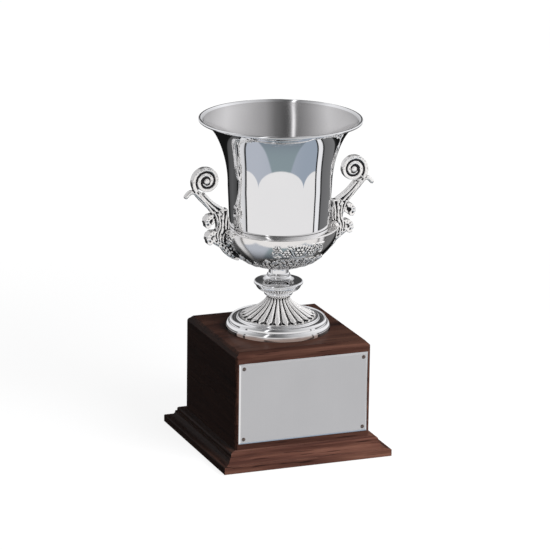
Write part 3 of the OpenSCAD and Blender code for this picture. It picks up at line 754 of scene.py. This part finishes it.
def make_trumpet():
    """The fluted foot: ribs that widen downwards and end in round tips, with a thin ridge in each valley."""
    around, along, ribs = 960, 96, 24
    rib_h, groove_h, ridge_h, thick = 0.9, 1.25, 0.45, 1.6
    u = np.linspace(0, 1, along)[None, :]
    turn = full_turn(around)
    radius = TRUMPET_TOP_R + (TRUMPET_R - TRUMPET_TOP_R) * (1 - u) ** 1.7
    phase = (turn * ribs / (2 * np.pi)) % 1.0 - 0.5
    side = np.abs(phase) / 0.40
    tip = np.clip((u - 0.035) / 0.10, 0, 1) ** 0.5 * np.clip((0.93 - u) / 0.08, 0, 1) ** 0.5
    rib = np.sqrt(np.clip(1 - (side / np.maximum(tip, 1e-3)) ** 2, 0, 1)) * np.where(tip > 0.02, 1, 0)
    valley = np.clip(1 - np.abs(np.abs(phase) - 0.5) / 0.05, 0, 1) ** 0.5
    valley = valley * np.clip((u - 0.02) / 0.05, 0, 1) * np.clip((0.8 - u) / 0.1, 0, 1)
    groove = -groove_h * np.clip((u - 0.03) / 0.05, 0, 1) * np.clip((0.95 - u) / 0.08, 0, 1)
    off = groove + rib * (rib_h + groove_h) + valley * ridge_h
    slope = 1.7 * (TRUMPET_R - TRUMPET_TOP_R) * (1 - u) ** 0.7
    size = np.hypot(slope, TRUMPET_H)
    r = radius + off * TRUMPET_H / size
    z = TRUMPET_Z + TRUMPET_H * u + off * slope / size
    outer = about_z(r, turn, z)
    under = np.maximum(TRUMPET_Z + TRUMPET_H * u - thick * 0.4, TRUMPET_Z)
    inner = about_z(np.maximum(radius - thick, BORE_R), turn, under)[:, ::-1]
    ring = np.concatenate([outer, about_z(BORE_R, turn, TRUMPET_Z + TRUMPET_H), inner], 1)
    faces = grid_faces(around, ring.shape[1], True, True)
    cast("trumpet", ring.reshape(-1, 3), faces, ("foot_trumpet",), 7, 3.4)


def make_foot():
    base, top = FOOT_Z, FOOT_Z + FOOT_H - 1
    round_w, step, bead, wall = 2.6, 0.5, 1.5, 2.0
    channel_w, round_h = 6.4, 4.6
    round_z = base + 3.6
    upper_z = round_z + round_h + step
    upper_x = FOOT_R - 2 * step - round_w
    channel_x = TRUMPET_R + 2 * bead + channel_w
    outline = [(FOOT_R - wall, base), (FOOT_R, base), (FOOT_R, round_z)]
    outline += arc(FOOT_R - step - round_w, round_z, round_w, 0, 90, round_h, 24)
    outline += [(upper_x, round_z + round_h)]
    outline += arc(channel_x, upper_z, upper_x - channel_x, 0, 90, top - step - upper_z, 20)
    outline += arc(channel_x - channel_w / 2, top - step, channel_w / 2, 0, -180, bead, 24)
    outline += arc(TRUMPET_R + bead, top + 1 - bead, bead, 0, 90, None, 12)
    outline += [
        (TRUMPET_R, top + 1),
        (TRUMPET_R, top),
        (TRUMPET_R - wall, top),
        (TRUMPET_R - wall, top - bead - step - wall),
        (channel_x, top - bead - step - wall),
        (FOOT_R - wall - round_w, round_z + round_h - wall),
        (FOOT_R - wall, round_z),
    ]
    # Painted reflection: the foot's lowest band is tinted brown, standing in for the walnut base that it
    # reflects
    tint, painted_reflection_colour = (0.93, 0.93, 0.935), (0.33, 0.25, 0.22)
    looks = painted_reflection_silver("foot_silver_painted_reflection", tint, painted_reflection_colour, FOOT_Z + 2.0, FOOT_Z + 5.5, 0.05)
    turned("foot_rings", rounded(outline, 0.3), FINE, looks, ("foot_rim",))


# ---------------------------------------------------------------- handles
HANDLE_Z = BOWL_Z - 3.5
EYE = np.array([CALYX_R + 21.7, HANDLE_Z + 64.0])
SCROLL_R, PITCH, EYE_R, STRAP = 17.0, 5.9, 3.0, 3.4
EYE_TURN = 6.2832


def at(x, z):
    """A place in the handle's plane, out from the calyx and up from just under the bowl."""
    return np.array([CALYX_R + x, HANDLE_Z + z])


def sideways(path):
    """The unit vectors that point across a path of (x, z)."""
    way = np.gradient(path, axis=0)
    way /= np.linalg.norm(way, axis=1)[:, None]
    return np.stack([way[:, 1], -way[:, 0]], 1)


class Shape:
    """Collects closed meshes in the handle's plane, to be fused by a voxel remesh."""

    def __init__(self):
        self.points, self.faces, self.count = [], [], 0

    def add(self, points, faces):
        self.points.append(np.asarray(points, float))
        self.faces += [[int(k) + self.count for k in f] for f in faces]
        self.count += len(points)

    def sweep(self, path, section, sizes=None):
        """Carries a closed section of (across, y) along a path of (x, z), scaled by one or two sizes."""
        sizes = np.ones(len(path)) if sizes is None else sizes
        sizes = np.stack([sizes, sizes], 1) if sizes.ndim == 1 else sizes
        across = sideways(path)
        off = section[None, :, 0] * sizes[:, :1]
        x = path[:, :1] + across[:, :1] * off
        z = path[:, 1:] + across[:, 1:] * off
        y = section[None, :, 1] * sizes[:, 1:]
        self.add(np.stack([x, y, z], -1).reshape(-1, 3), tube_faces(len(path), len(section)))

    def plate(self, outline, thickness):
        n = len(outline)
        points = [(x, side * thickness / 2, z) for side in (-1, 1) for x, z in outline]
        faces = [list(range(n)), list(range(2 * n - 1, n - 1, -1))]
        faces += [[i, (i + 1) % n, n + (i + 1) % n, n + i] for i in range(n)]
        self.add(points, faces)


def loop(across, y, count, power):
    """A rounded closed section, half as wide as across and as thick as y each way."""
    a = np.linspace(0, 2 * np.pi, count, endpoint=False)
    c, s = np.cos(a), np.sin(a)
    parts = [np.sign(k) * np.abs(k) ** (2 / power) * size for k, size in ((c, across), (s, y))]
    return np.stack(parts, 1)


def circle(centre, radius, count, full=2 * np.pi):
    """Count points evenly round a circle in the handle's plane."""
    angles = np.linspace(0, full, count + 1)[:-1]
    return [centre + radius * np.array([math.cos(t), math.sin(t)]) for t in angles]


def spiral(start, end, inset, count):
    a = np.radians(np.linspace(start, end, count))
    r = SCROLL_R - PITCH * (np.degrees(a) + 45) / 360 - inset
    return EYE + np.stack([r * np.cos(a), r * np.sin(a)], 1)


def smooth_line(points, count):
    """A smooth curve of count points through a few given ones."""
    points = np.asarray(points, float)
    padded = np.vstack([2 * points[0] - points[1], points, 2 * points[-1] - points[-2]])
    t = np.linspace(0, len(points) - 1 - 1e-9, count)
    i = t.astype(int)
    f = (t - i)[:, None]
    a, b, c, d = (padded[i + k] for k in range(4))
    return 0.5 * (2 * b + (c - a) * f + (2 * a - 5 * b + 4 * c - d) * f**2 + (3 * b - a - 3 * c + d) * f**3)


def add_scroll(shape):
    """The volute: a rounded strap wound into a spiral with a thin edge, over a web, round a domed eye."""
    end = -45 + (SCROLL_R - EYE_R - STRAP * 0.6) / PITCH * 360
    taper = np.linspace(1.0, 0.8, 260)
    for inset, section in ((2.4, loop(2.35, 4.1, 22, 2.2)), (0.8, loop(0.8, 4.5, 12, 2.6))):
        shape.sweep(spiral(-45, end, inset, len(taper)), section, taper)
    shape.plate(spiral(-45, 315, STRAP * 0.5, 72)[:-1], 5.8)
    shape.plate(circle(EYE, EYE_R, 23, EYE_TURN), 8.0)
    dome = np.linspace(0, 1, 9)
    for side in (-1, 1):
        rings = []
        for t in dome:
            radius = EYE_R * math.cos(t * math.pi / 2) + 0.02
            y = side * (3.6 + 1.3 * math.sin(t * math.pi / 2))
            rings += [(x, y, z) for x, z in circle(EYE, radius, 24, EYE_TURN)]
        shape.add(rings, tube_faces(len(dome), 24, True))


def add_arm(shape):
    """Three cords from the stem up to the scroll, over a plate that joins them, and a hooked tip."""
    web = [at(2.0, 32.2)] + [EYE + p for p in ([2.5, -16], [5, -12], [12.5, -9.6], [15, -11.6], [7, -21])]
    shape.plate(web + [at(17, 31), at(10, 27.5)], 6.2)
    for x0, z0, x1, z1, bow, r in (
        (2.6, 31.6, 24.6, 50.4, -1.0, 1.7),
        (8.4, 29.6, 30.0, 51.6, -0.4, 1.9),
        (14.6, 29.6, 34.5, 53.0, 0.6, 1.7),
    ):
        middle = at((x0 + x1) / 2 - bow, (z0 + z1) / 2 + bow)
        shape.sweep(smooth_line([at(x0, z0), middle, at(x1, z1)], 30), loop(r, 4.5, 18, 2.4))
    hook = [EYE + p for p in ([10.5, -12.5], [16.5, -11.2], [21.5, -15.2], [21.6, -18.0])]
    size = np.interp(np.linspace(0, 1, 30), [0, 0.35, 0.75, 1], [0.7, 1.0, 0.95, 0.45])
    shape.sweep(smooth_line(hook, 30), loop(2.6, 3.2, 18, 2.2), size)


def add_curl(shape, x, z, start, end):
    """An acanthus leaf that curls out and down, with furrows along it and notched edges."""
    middle, outer, inner = at(x, z), 8.0, 3.0
    count, section = 60, 40
    a = np.radians(np.linspace(start, end, count))
    u, v = np.linspace(0, 1, count), np.linspace(-1, 1, section)
    notches = np.abs(np.sin(np.pi * 4.5 * u))
    half = 5.4 * np.interp(u, [0, 0.25, 0.7, 0.92, 1], [0.9, 1.0, 1.0, 0.9, 0.7])
    half = half * (0.86 + 0.14 * notches**0.5)
    crown = 1 - 0.5 * np.abs(v) ** 2.6
    furrow = 0.45 * np.abs(np.cos(np.pi * 3.0 * v)) ** 0.6
    swell = np.interp(u, [0, 0.8, 1.0], [0.0, 0.2, 0.0])
    lobes = (0.5 * notches**0.6)[:, None] * (np.abs(v) ** 2)[None, :]
    top = outer - 1.6 + swell[:, None] + (furrow * 0.9 + crown * 0.9)[None, :] + lobes
    top = np.minimum(top, outer + 0.15)
    under = inner - 0.6 + 1.1 * (1 - crown)[None, :] + 0 * top
    sheets = []
    for across, radius in ((v, top), (v[::-1], under[:, ::-1])):
        px = middle[0] + radius * np.cos(a)[:, None]
        pz = middle[1] + radius * np.sin(a)[:, None]
        sheets.append(np.stack([px, half[:, None] * across[None, :], pz], -1))
    shape.add(np.concatenate(sheets, 1).reshape(-1, 3), tube_faces(count, 2 * section))
    # A thin web closes the hollow under the leaf, and its tip is a roll
    shape.plate(circle(middle, inner + 1.2, 32), 4.6)
    tip = middle + (outer + inner) / 2 * np.array([math.cos(a[-1]), math.sin(a[-1])])
    roll = circle(tip, 3.2, 24)
    shape.plate(roll, 9.4)
    shape.plate([tip + (p - tip) * 0.6 for p in roll], 9.0)


def add_faces(shape, path, widths, leaves):
    """Lays leaves, in relief, on both faces of the handle along a path of (x, z) with half widths."""
    rows, columns = 150, 64
    line = smooth_line(path, rows)
    across = sideways(line)
    along = np.concatenate([[0], np.cumsum(np.linalg.norm(np.diff(line, axis=0), axis=1))])[:, None]
    half = np.interp(np.linspace(0, len(widths) - 1, rows), range(len(widths)), widths)[:, None]
    v = np.linspace(-1, 1, columns)[None, :] * half
    x = line[:, :1] + across[:, :1] * v
    z = line[:, 1:] + across[:, 1:] * v
    height = np.full(v.shape, -1.0)
    for base, aim, length, width, bend, lobes, level in leaves:
        height = overlay(height, leaf(along + 0 * v, v, base, aim, length, width, bend, lobes), level)
    for side in (-1, 1):
        outer = np.stack([x, side * np.where(height < 0, 3.4, 3.7 + height * 2.2), z], -1)
        inner = np.stack([x, side * -0.5 * np.ones(v.shape), z], -1)
        shape.add(*closed_patch(outer, inner))


def pair(x, y, aim, *size):
    """A leaf for add_faces and its mirror image across the path."""
    length, width, bend, lobes, level = size
    return [((x, k * y), k * aim, length, width, k * bend, lobes, level) for k in (1, -1)]


def add_stem(shape):
    """The leafy stem between the calyx and the arm: a core with long leaf ridges laid on it."""
    clear = BOWL_R - CALYX_R
    low_angle = below(0.8)
    lift = 1.2
    inside = arc(0, CALYX_Z, CALYX_R + lift, low_angle, 0, CALYX_DEPTH + lift, 10)
    inside += arc(CALYX_R - SHOULDER_W, CALYX_Z, SHOULDER_W + lift, 0, 60, SHOULDER_H + lift, 6)
    outline = inside + [at(clear + x, z) for x, z in ((2.0, 8), (2.8, 16), (4.4, 28), (4.8, 32.6))]
    outer = ((17, 30.4), (12.8, 26), (10.4, 20), (8.8, 14), (10.2, 8), (11.6, 1), (6.8, -8.6))
    outline += [at(x, z) for x, z in outer]
    end = below(0.9)
    outline += arc(0, CALYX_Z, CALYX_R + 4.6, end, low_angle, CALYX_DEPTH + 4.6, 4)
    shape.plate(outline, 8.4)
    ridges = (
        (((-1.5, 31.5), (0.4, 20), (0.6, 10), (3.5, 2), (2.0, -7)), 1.9),
        (((3.2, 31.5), (3.8, 22), (4.6, 12), (7.0, 3), (4.4, -7.5)), 1.9),
        (((8.5, 31.0), (7.6, 23), (7.0, 14), (9.8, 5), (7.2, -6)), 1.8),
        (((13.5, 30.4), (11.0, 25), (8.6, 17)), 1.6),
        (((-2.6, 24), (-2.6, 14), (-1.0, 7)), 1.5),
    )
    for path, r in ridges:
        line = smooth_line([at(*p) for p in path], 50)
        size = np.interp(np.linspace(0, 1, 50), [0, 0.12, 0.85, 1], [0.6, 1.0, 1.0, 0.5])
        shape.sweep(line, loop(r, 5.9, 20, 2.0), np.stack([size, np.sqrt(size)], 1))
    # Lobed leaves that grow up both faces, one out of the other
    add_faces(
        shape,
        [at(6.0, -6), at(6.3, 0), at(4.6, 7), at(3.4, 15), at(4.8, 24), at(8.2, 31.5)],
        [4.5, 5.6, 6.4, 6.4, 6.9, 5.4],
        [((-3, 0), 0, 22, 6.2, 0, 3, 1.0), ((12, 0), 0, 20, 6.4, 0, 3, 1.0), ((26, 0), 0, 16, 6.0, 0, 3, 0.9)]
        + pair(8, 2.0, 30, 13, 3.4, 24, 2, 0.8)
        + pair(22, 2.0, 30, 14, 3.4, 24, 2, 0.8),
    )
    # The lower leaf runs from the curl down the calyx's edge to the root's tip
    low_line = [at(13.0, 6), at(10.5, -1)]
    spots = ((-16, 4.6), (-27, 3.4), (-36, 2.6), (-43, 1.8))
    low_line += [calyx_point(angle, 0.0, off)[[0, 2]] for angle, off in spots]
    add_faces(
        shape,
        low_line,
        [2.6, 4.4, 5.2, 4.6, 3.4, 1.8],
        [((0, 0), 0, 16, 4.4, 0, 2, 0.9), ((9, 0), 0, 17, 5.2, 0, 3, 1.0), ((20, 0), 0, 16, 4.4, 0, 3, 1.0)]
        + pair(12, 1.5, 35, 11, 3.0, 20, 2, 0.8),
    )


def add_root(shape):
    """The leafy root on the calyx, wide at the shoulder and narrow at its tip."""
    half, thick = 17.0, 3.4
    low_angle = below(0.66)
    rows, columns = 150, 150
    angle = np.linspace(low_angle, 0, columns)[None, :]
    turn = np.radians(np.linspace(-half, half, rows))[:, None]
    length = 37.0
    along = (angle - low_angle) / -low_angle * length
    across = turn * CALYX_R * np.cos(np.radians(angle)) ** 0.5
    height = np.full((rows, columns), -1.0)
    for base, aim, size, width, bend, lobes in (
        ((46, 0), 180, 46, 7.6, 0, 8),
        ((38, 6), 190, 24, 4.4, 24, 5),
        ((38, -6), 170, 24, 4.4, -24, 5),
        ((38, 11), 198, 18, 4.0, 10, 4),
        ((38, -11), 162, 18, 4.0, -10, 4),
        ((38, 16), 200, 13, 3.6, 0, 3),
        ((38, -16), 160, 13, 3.6, 0, 3),
    ):
        height = overlay(height, leaf(along + 0 * across, across, base, aim, size, width, bend, lobes))
    rise = np.interp(along[0], [0, 8, 30, 37], [0.3, 0.6, 1.0, 1.0])[None, :]
    off = np.where(height < 0, -0.6, 0.2 + height * (thick - 0.3) * rise)
    off = -0.5 + (off + 0.5) * fade_in(rows)[:, None]
    points, faces = closed_patch(calyx_point(angle, turn, off), calyx_point(angle, turn, -1.2 + 0 * off))
    shape.add(points, faces)
    # The part of the root that lies on the shoulder
    places = np.linspace(-half, half, 90)[:, None]
    lean = np.radians(np.linspace(-8, 60, 24))[None, :]
    wave = 0.5 + 0.5 * np.abs(np.cos(places * np.pi / 6.2)) ** 0.6
    fade = np.clip((half - np.abs(places)) / 3.0, 0, 1) ** 0.5
    drop = np.interp(np.arange(24), [0, 15, 23], [1, 0.9, 0.2])[None, :]
    turn = np.radians(places)
    sheets = []
    for off in (-0.4 + (thick - 0.4) * wave * fade * drop, np.full((90, 24), -1.0)):
        r = CALYX_R - SHOULDER_W + (SHOULDER_W + off) * np.cos(lean)
        z = CALYX_Z + (SHOULDER_H + off) * np.sin(lean)
        sheets.append(about_z(r, turn, z))
    shape.add(*closed_patch(*sheets))


VOXEL, WAVES = 0.42, 6
ROUGH_H, ROUGH_SIZE, ROUGH_SEED = 0.10, 2.6, 7


def fused(shape):
    """The shape's overlapping solids as one even mesh."""
    mesh = bpy.data.meshes.new("work")
    mesh.from_pydata((np.concatenate(shape.points) * MM).tolist(), [], shape.faces)
    face_outwards(mesh)
    carrier = bpy.data.objects.new("work", mesh)
    bpy.context.collection.objects.link(carrier)
    remesh = carrier.modifiers.new("remesh", "REMESH")
    remesh.mode, remesh.voxel_size, remesh.use_smooth_shade = "VOXEL", VOXEL * MM, True
    relax = carrier.modifiers.new("relax", "CORRECTIVE_SMOOTH")
    relax.use_only_smooth, relax.iterations, relax.factor = True, 3, 0.5
    graph = bpy.context.evaluated_depsgraph_get()
    result = bpy.data.meshes.new_from_object(carrier.evaluated_get(graph))
    bpy.data.objects.remove(carrier)
    bpy.data.meshes.remove(mesh)
    return result


def roughened(mesh, amount, size, seed):
    """The vertices moved along their normals by smooth seeded noise, as a casting's surface wanders."""
    spots, normals = surface(mesh)
    rng = np.random.default_rng(seed)
    shift = np.zeros(len(spots))
    for scale, share in ((size, 1.0), (size / 2, 0.5)):
        for _ in range(WAVES):
            way = rng.normal(size=3)
            way /= np.linalg.norm(way)
            phase = rng.uniform(0, 6.28)
            shift += share * np.sin(spots @ way * (2 * np.pi / (scale * MM)) + phase) / WAVES
    return spots + normals * (shift * amount * MM)[:, None]


def make_handles():
    """The right handle is fused and roughened within its CAD box, and the left one is its mirror image."""
    shape = Shape()
    add_scroll(shape)
    add_arm(shape)
    add_curl(shape, 16, 20, 110, -45)
    add_curl(shape, 14, 2, 130, -50)
    add_stem(shape)
    add_root(shape)
    right = fused(shape)
    lo, hi = (np.array(v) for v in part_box("handle_right"))
    spots = np.clip(roughened(right, ROUGH_H, ROUGH_SIZE, ROUGH_SEED), lo, hi)
    right.vertices.foreach_set("co", spots.ravel())
    right.update()
    hollows(right, 5, 3.0)
    left = right.copy()
    left.vertices.foreach_set("co", (spots * np.array([-1, 1, 1])).ravel())
    left.flip_normals()
    left.update()
    for side, mesh in (("right", right), ("left", left)):
        mesh.name = "handle_cast_" + side
        dress(mesh, "handle_cast_" + side, cast_silver, "polished_silver", ("handle_" + side,), 180)


# ---------------------------------------------------------------- plate, nails and base
def make_plate():
    """The plate: a satin face inside a polished bevel."""
    x0, y0, z0 = (v / MM for v in PLATE_LOW)
    x1, y1, z1 = (v / MM for v in PLATE_HIGH)
    bevel, face = 1.6, y0 + 0.7
    rings = [
        (0.0, y1), (0.0, face + 0.08), (0.03, face + 0.03), (0.09, face - 0.02),
        (bevel - 0.08, y0 + 0.05), (bevel, y0 + 0.015), (bevel + 0.1, y0), (3.2, y0),
    ]
    corner = 5
    points = []
    for inset, y in rings:
        r = max(0.35 - inset * 0.1, 0.15)
        for cx, cz, start in ((x1, z1, 0), (x0, z1, 90), (x0, z0, 180), (x1, z0, 270)):
            ex = cx - math.copysign(inset + r, cx)
            ez = cz - (inset + r if cz == z1 else -inset - r)
            for k in range(corner):
                a = math.radians(start + 90 * k / (corner - 1))
                points.append((ex + r * math.cos(a), y, ez + r * math.sin(a)))
    n = 4 * corner
    faces = tube_faces(len(rings), n, True)
    marks = [1] * (6 * n) + [0] * (n + 2)
    looks = [satin_plate, polished_silver]
    made = piece("name_plate", points, faces, looks, ("engraving_plate",), 12, "satin_silver", False)
    face_outwards(made.data)
    made.data.polygons.foreach_set("material_index", np.array(marks, np.int32))


def make_nails():
    """Four round heads on short shanks, turned about Y."""
    lo, hi = (np.array(v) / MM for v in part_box("plate_nails"))
    head_r, head_h, shank_r, segments = 2.1, 1.3, 0.8, 32
    front, under = lo[1], lo[1] + head_h
    ball = (head_r**2 + head_h**2) / (2 * head_h)
    top = math.asin(head_r / ball)
    slopes = np.linspace(0.08, top * 0.98, 12)
    dome = [(0.0, front)] + [(ball * math.sin(t), front + ball * (1 - math.cos(t))) for t in slopes]
    dome += [(head_r, under - 0.05), (head_r - 0.05, under + 0.02)]
    dome += [(shank_r, under + 0.03), (shank_r, hi[1]), (0.0, hi[1])]
    dome = np.array(dome)
    r, y = dome[None, :, 0], dome[None, :, 1]
    points, faces = [], []
    a = full_turn(segments)
    for x in (lo[0] + head_r, hi[0] - head_r):
        for z in (lo[2] + head_r, hi[2] - head_r):
            faces.append(grid_faces(segments, len(dome), True, False, len(points) * segments * len(dome)))
            points.append(np.stack([x + r * np.cos(a), y + 0 * a, z + r * np.sin(a)], -1).reshape(-1, 3))
    points, faces = np.concatenate(points), np.concatenate(faces)
    piece("nail_heads", points, faces, dark_nail, ("plate_nails",), 50, "nail_silver")


def soften(node, width):
    """Small rounded edges on a CAD node, by modifiers."""
    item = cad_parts[node]
    weld = item.modifiers.new("weld", "WELD")
    weld.merge_threshold = 0.00001
    bevel = item.modifiers.new("bevel", "BEVEL")
    bevel.width, bevel.segments, bevel.limit_method = width * MM, 3, "ANGLE"
    bevel.angle_limit = math.radians(25)
    bevel.harden_normals = True


def paint_nodes(looks, *nodes):
    for node in nodes:
        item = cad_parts[node]
        item.data.materials.clear()
        item.data.materials.append(looks)


def make_base():
    """The base keeps its CAD solids. A board is given its grain's axis, its own figure and a brightness
    factor that is painted light: the left boards and the top board are darkened as painted shade, and the
    plinth's front, back and right boards are brightened as painted light.
    """
    # Each board: grain axis, figure offset, and a brightness factor that is painted light and shade
    boards = {
        "wall_front": (0, (0.11, 0.02, 0.37), 1.0),
        "wall_back": (0, (0.53, 0.44, 0.12), 1.0),
        "wall_left": (1, (0.71, 0.13, 0.63), 0.45),
        "wall_right": (1, (0.29, 0.61, 0.05), 1.0),
        "top_board": (0, (0.90, 0.31, 0.24), 0.62),
        "plinth_front": (0, (0.34, 0.83, 0.71), 1.55),
        "plinth_back": (0, (0.61, 0.27, 0.93), 1.2),
        "plinth_left": (1, (0.17, 0.52, 0.41), 0.4),
        "plinth_right": (1, (0.83, 0.75, 0.58), 1.2),
    }
    for node, (along, offset, tone) in boards.items():
        paint_nodes(walnut("walnut_" + node, along, offset, tone), node)
        soften(node, 0.35 if node.startswith("plinth") else 0.5)
    paint_nodes(plain_wood, "glue_blocks", "bottom_board")
    paint_nodes(zinc_steel, "tie_rod", "rod_washer", "rod_nut", "bowl_boss", "plinth_screws", "board_screws")
    paint_nodes(felt, "felt_pad")
    # The cup mirrors the studio and not the wood under it
    for node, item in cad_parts.items():
        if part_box(node)[1][2] / MM < BLOCK_TOP + 0.1 and node not in ("engraving_plate", "plate_nails"):
            item.visible_glossy = False


# ---------------------------------------------------------------- studio
SHADOW_FROM, SHADOW_TO = 0.35, 1.1  # metres from the middle, where the floor stops taking light
FLOOR_GLOW, FAR_GLOW = 0.90, 0.12
DIM, WHITE = (0.022, 0.022, 0.024), (1.0, 1.0, 1.0)


def make_floor():
    """A white floor that glows, with a soft shadow near the object only."""
    mesh = bpy.data.meshes.new("floor")
    s = 30.0
    mesh.from_pydata([(-s, -s, 0), (s, -s, 0), (s, s, 0), (-s, s, 0)], [], [(0, 1, 2, 3)])
    floor = bpy.data.objects.new("floor", mesh)
    bpy.context.collection.objects.link(floor)
    looks = bpy.data.materials.new("floor")
    looks.use_nodes = True
    tree = looks.node_tree
    tree.nodes.clear()
    p = Paint(tree)
    place = p.node("ShaderNodeSeparateXYZ", {0: p.coords()})
    x, y = p.val(place, 0), p.val(place, 1)
    far = (x * x + y * y).op("SQRT").step(SHADOW_FROM, SHADOW_TO)
    white = p.mix(far, (0.20, 0.20, 0.205), (0.02, 0.02, 0.02))
    lit = p.node("ShaderNodeBsdfDiffuse", {"Color": white})
    glow = p.node("ShaderNodeEmission", {"Color": (1, 1, 1), "Strength": far * FAR_GLOW + FLOOR_GLOW})
    both = p.node("ShaderNodeAddShader")
    tree.links.new(lit.outputs[0], both.inputs[0])
    tree.links.new(glow.outputs[0], both.inputs[1])
    out = p.node("ShaderNodeOutputMaterial")
    tree.links.new(both.outputs[0], out.inputs["Surface"])
    mesh.materials.append(looks)
    floor.visible_glossy = False
    floor.visible_diffuse = False


# What polished metal sees, by the way its surface faces: UPRIGHT beside the white sheet where it stands or
# leans outwards, SLOPING where it faces up at a slant, LEVEL where it faces nearly straight up. Each pair is
# an angle in degrees, turned from the viewer's side, and a brightness.
UPRIGHT = (
    (-90, 0.008), (-77, 0.01), (-75, 0.075), (-66, 0.10), (-57, 0.07), (-55.5, 0.01), (-53.5, 0.01),
    (-52.5, 0.75), (-43.5, 0.68), (-42.5, 0.02), (-40.5, 0.02), (40.5, 0.02), (42.2, 0.02), (42.8, 0.85),
    (48.5, 0.85), (49.2, 0.02), (50.8, 0.03), (52, 0.15), (73, 0.19), (76, 0.02), (90, 0.008),
)
SLOPING = (
    (-90, 0.50), (-64.5, 0.63), (-37.6, 0.86), (-21.5, 0.42), (-13.0, 0.24), (-11.8, 0.36), (-10.8, 1.5),
    (-9.8, 1.5), (-8.8, 0.30), (-6.5, 0.13), (-4.2, 0.115), (2.8, 0.21), (10, 0.45), (25, 0.69), (42, 0.95),
    (64.5, 0.63), (90, 0.60),
)
LEVEL = (
    (-90, 0.06), (-58, 0.10), (-46, 0.60), (-36, 0.70), (-30, 0.10), (-16, 0.08), (-11, 0.70), (-5, 0.55),
    (-2, 0.08), (6, 0.10), (12, 0.70), (22, 0.65), (26, 0.10), (48, 0.06), (90, 0.06),
)
# The tilts in degrees between which a table gives way to the next, and how stripes narrow as the metal leans
TO_SLOPING, TO_LEVEL = (5.0, 12.0), (60.0, 68.0)
LEAN_POWER, LEAN_SHARE, SLOPING_WIDTH = 1.68, 0.635, 1.55
# The white sheet, the blues over its arches, and the bright lens under the rim
SHEET, LENS_LIGHT = (0.82, 0.81, 0.81), (0.95, 0.95, 0.96)
PALE_LEFT, PALE_RIGHT = (0.46, 0.49, 0.55), (0.32, 0.37, 0.44)
DUSK_HIGH, DUSK_LOW = (0.20, 0.235, 0.275), (0.25, 0.31, 0.335)
SIDE_ARCH_HALF, SIDE_ARCH_SHARE = 15.0, 0.85


def studio_colour(p):
    """White sheets with arched tops low in front, and dark and light stripes beside them, all fixed."""
    split = p.node("ShaderNodeSeparateXYZ", {0: p.val(p.node("ShaderNodeTexCoord"), "Generated")})
    viewer = away(CAMERA_AZ, CAMERA_EL)
    x, y, z = (p.val(split, k) + viewer[k] for k in range(3))
    turn = math.radians(CAMERA_AZ)
    front = x * math.sin(turn) - y * math.cos(turn)
    right = x * math.cos(turn) + y * math.sin(turn)
    degrees = 180 / math.pi
    across = (right.op("ARCTAN2", front) - PANEL_SHIFT / degrees).op("SINE")
    level = (front * front + right * right).op("SQRT")
    tilt = z.op("ARCTAN2", level) * degrees
    # The cup widens where it leans, so a stripe stays upright when it narrows there by as much
    steep = (tilt / degrees).op("SINE").op("ABSOLUTE").op("POWER", LEAN_POWER) * LEAN_SHARE + 1.0
    side = (across * steep).arcsine()
    over = (across * steep / SLOPING_WIDTH).arcsine()
    wide = side.op("ABSOLUTE")

    def strip(turned, stops):
        share = (turned + 90.0) / 180.0
        return p.ramp(share, [((a + 90) / 180, (v, v, v * 1.02)) for a, v in stops])

    middle = (side / ARCH_HALF).vault() * -ARCH_RISE
    outer = ((wide - PANEL_HALF) / SIDE_ARCH_HALF).vault() * -ARCH_RISE * SIDE_ARCH_SHARE
    arches = middle.op("MINIMUM", outer) + ARCH_FOOT
    sheet = (tilt - arches).step(-0.4, 0.4)
    pale = p.mix(side.step(-30.0, 30.0), PALE_LEFT, PALE_RIGHT)
    dusk = p.mix(tilt.step(-45.0, -15.0), DUSK_HIGH, DUSK_LOW)
    wedge = (wide + (tilt + 14.0) * 0.55).step(10.0, 12.5).flipped()
    blue = p.mix(wedge, pale, dusk)
    lens = side.band(-20.0, 11.0, 1.5) * tilt.step(-39.0, -43.0)
    blue = p.mix(lens, blue, LENS_LIGHT)
    panel = p.mix(sheet, blue, SHEET)
    upright = p.mix(wide.step(PANEL_HALF - 0.3, PANEL_HALF + 0.3), panel, strip(side, UPRIGHT))
    sloping = p.mix(tilt.step(*TO_LEVEL), strip(over, SLOPING), strip(over, LEVEL))
    return p.mix(tilt.step(*TO_SLOPING), upright, sloping)


def make_world():
    world = bpy.data.worlds.new("studio")
    bpy.context.scene.world = world
    world.use_nodes = True
    tree = world.node_tree
    tree.nodes.clear()
    p = Paint(tree)
    path = p.node("ShaderNodeLightPath")
    shiny = p.mix(p.val(path, "Is Glossy Ray"), DIM, studio_colour(p))
    colour = p.mix(p.val(path, "Is Camera Ray"), shiny, WHITE)
    back = p.node("ShaderNodeBackground", {"Color": colour, "Strength": 1.0})
    out = p.node("ShaderNodeOutputWorld")
    tree.links.new(back.outputs[0], out.inputs["Surface"])


def add_light(name, azimuth, elevation, distance, size, power):
    data = bpy.data.lights.new(name, "AREA")
    data.shape, data.size, data.size_y, data.energy = "RECTANGLE", size[0], size[1], power
    light = bpy.data.objects.new(name, data)
    bpy.context.collection.objects.link(light)
    way = away(azimuth, elevation)
    light.location = Vector((0, 0, 0.15)) + way * distance
    light.rotation_euler = way.to_track_quat("Z", "Y").to_euler()
    light.visible_glossy = False
    light.visible_camera = False


def make_studio():
    make_floor()
    make_world()
    add_light("key", 24, 30, 1.9, (1.1, 0.9), 42)
    add_light("top", 62, 62, 2.0, (1.4, 1.4), 9)
    view = bpy.context.scene.view_settings
    view.view_transform, view.look, view.exposure, view.gamma = "Standard", "None", 0.0, 1.0


make_studio()
make_base()
make_plate()
make_nails()
make_bowl()
make_calyx()
make_spray("leaf_spray_front", 270)
make_spray("leaf_spray_back", 90)
make_stem()
make_trumpet()
make_foot()
make_handles()
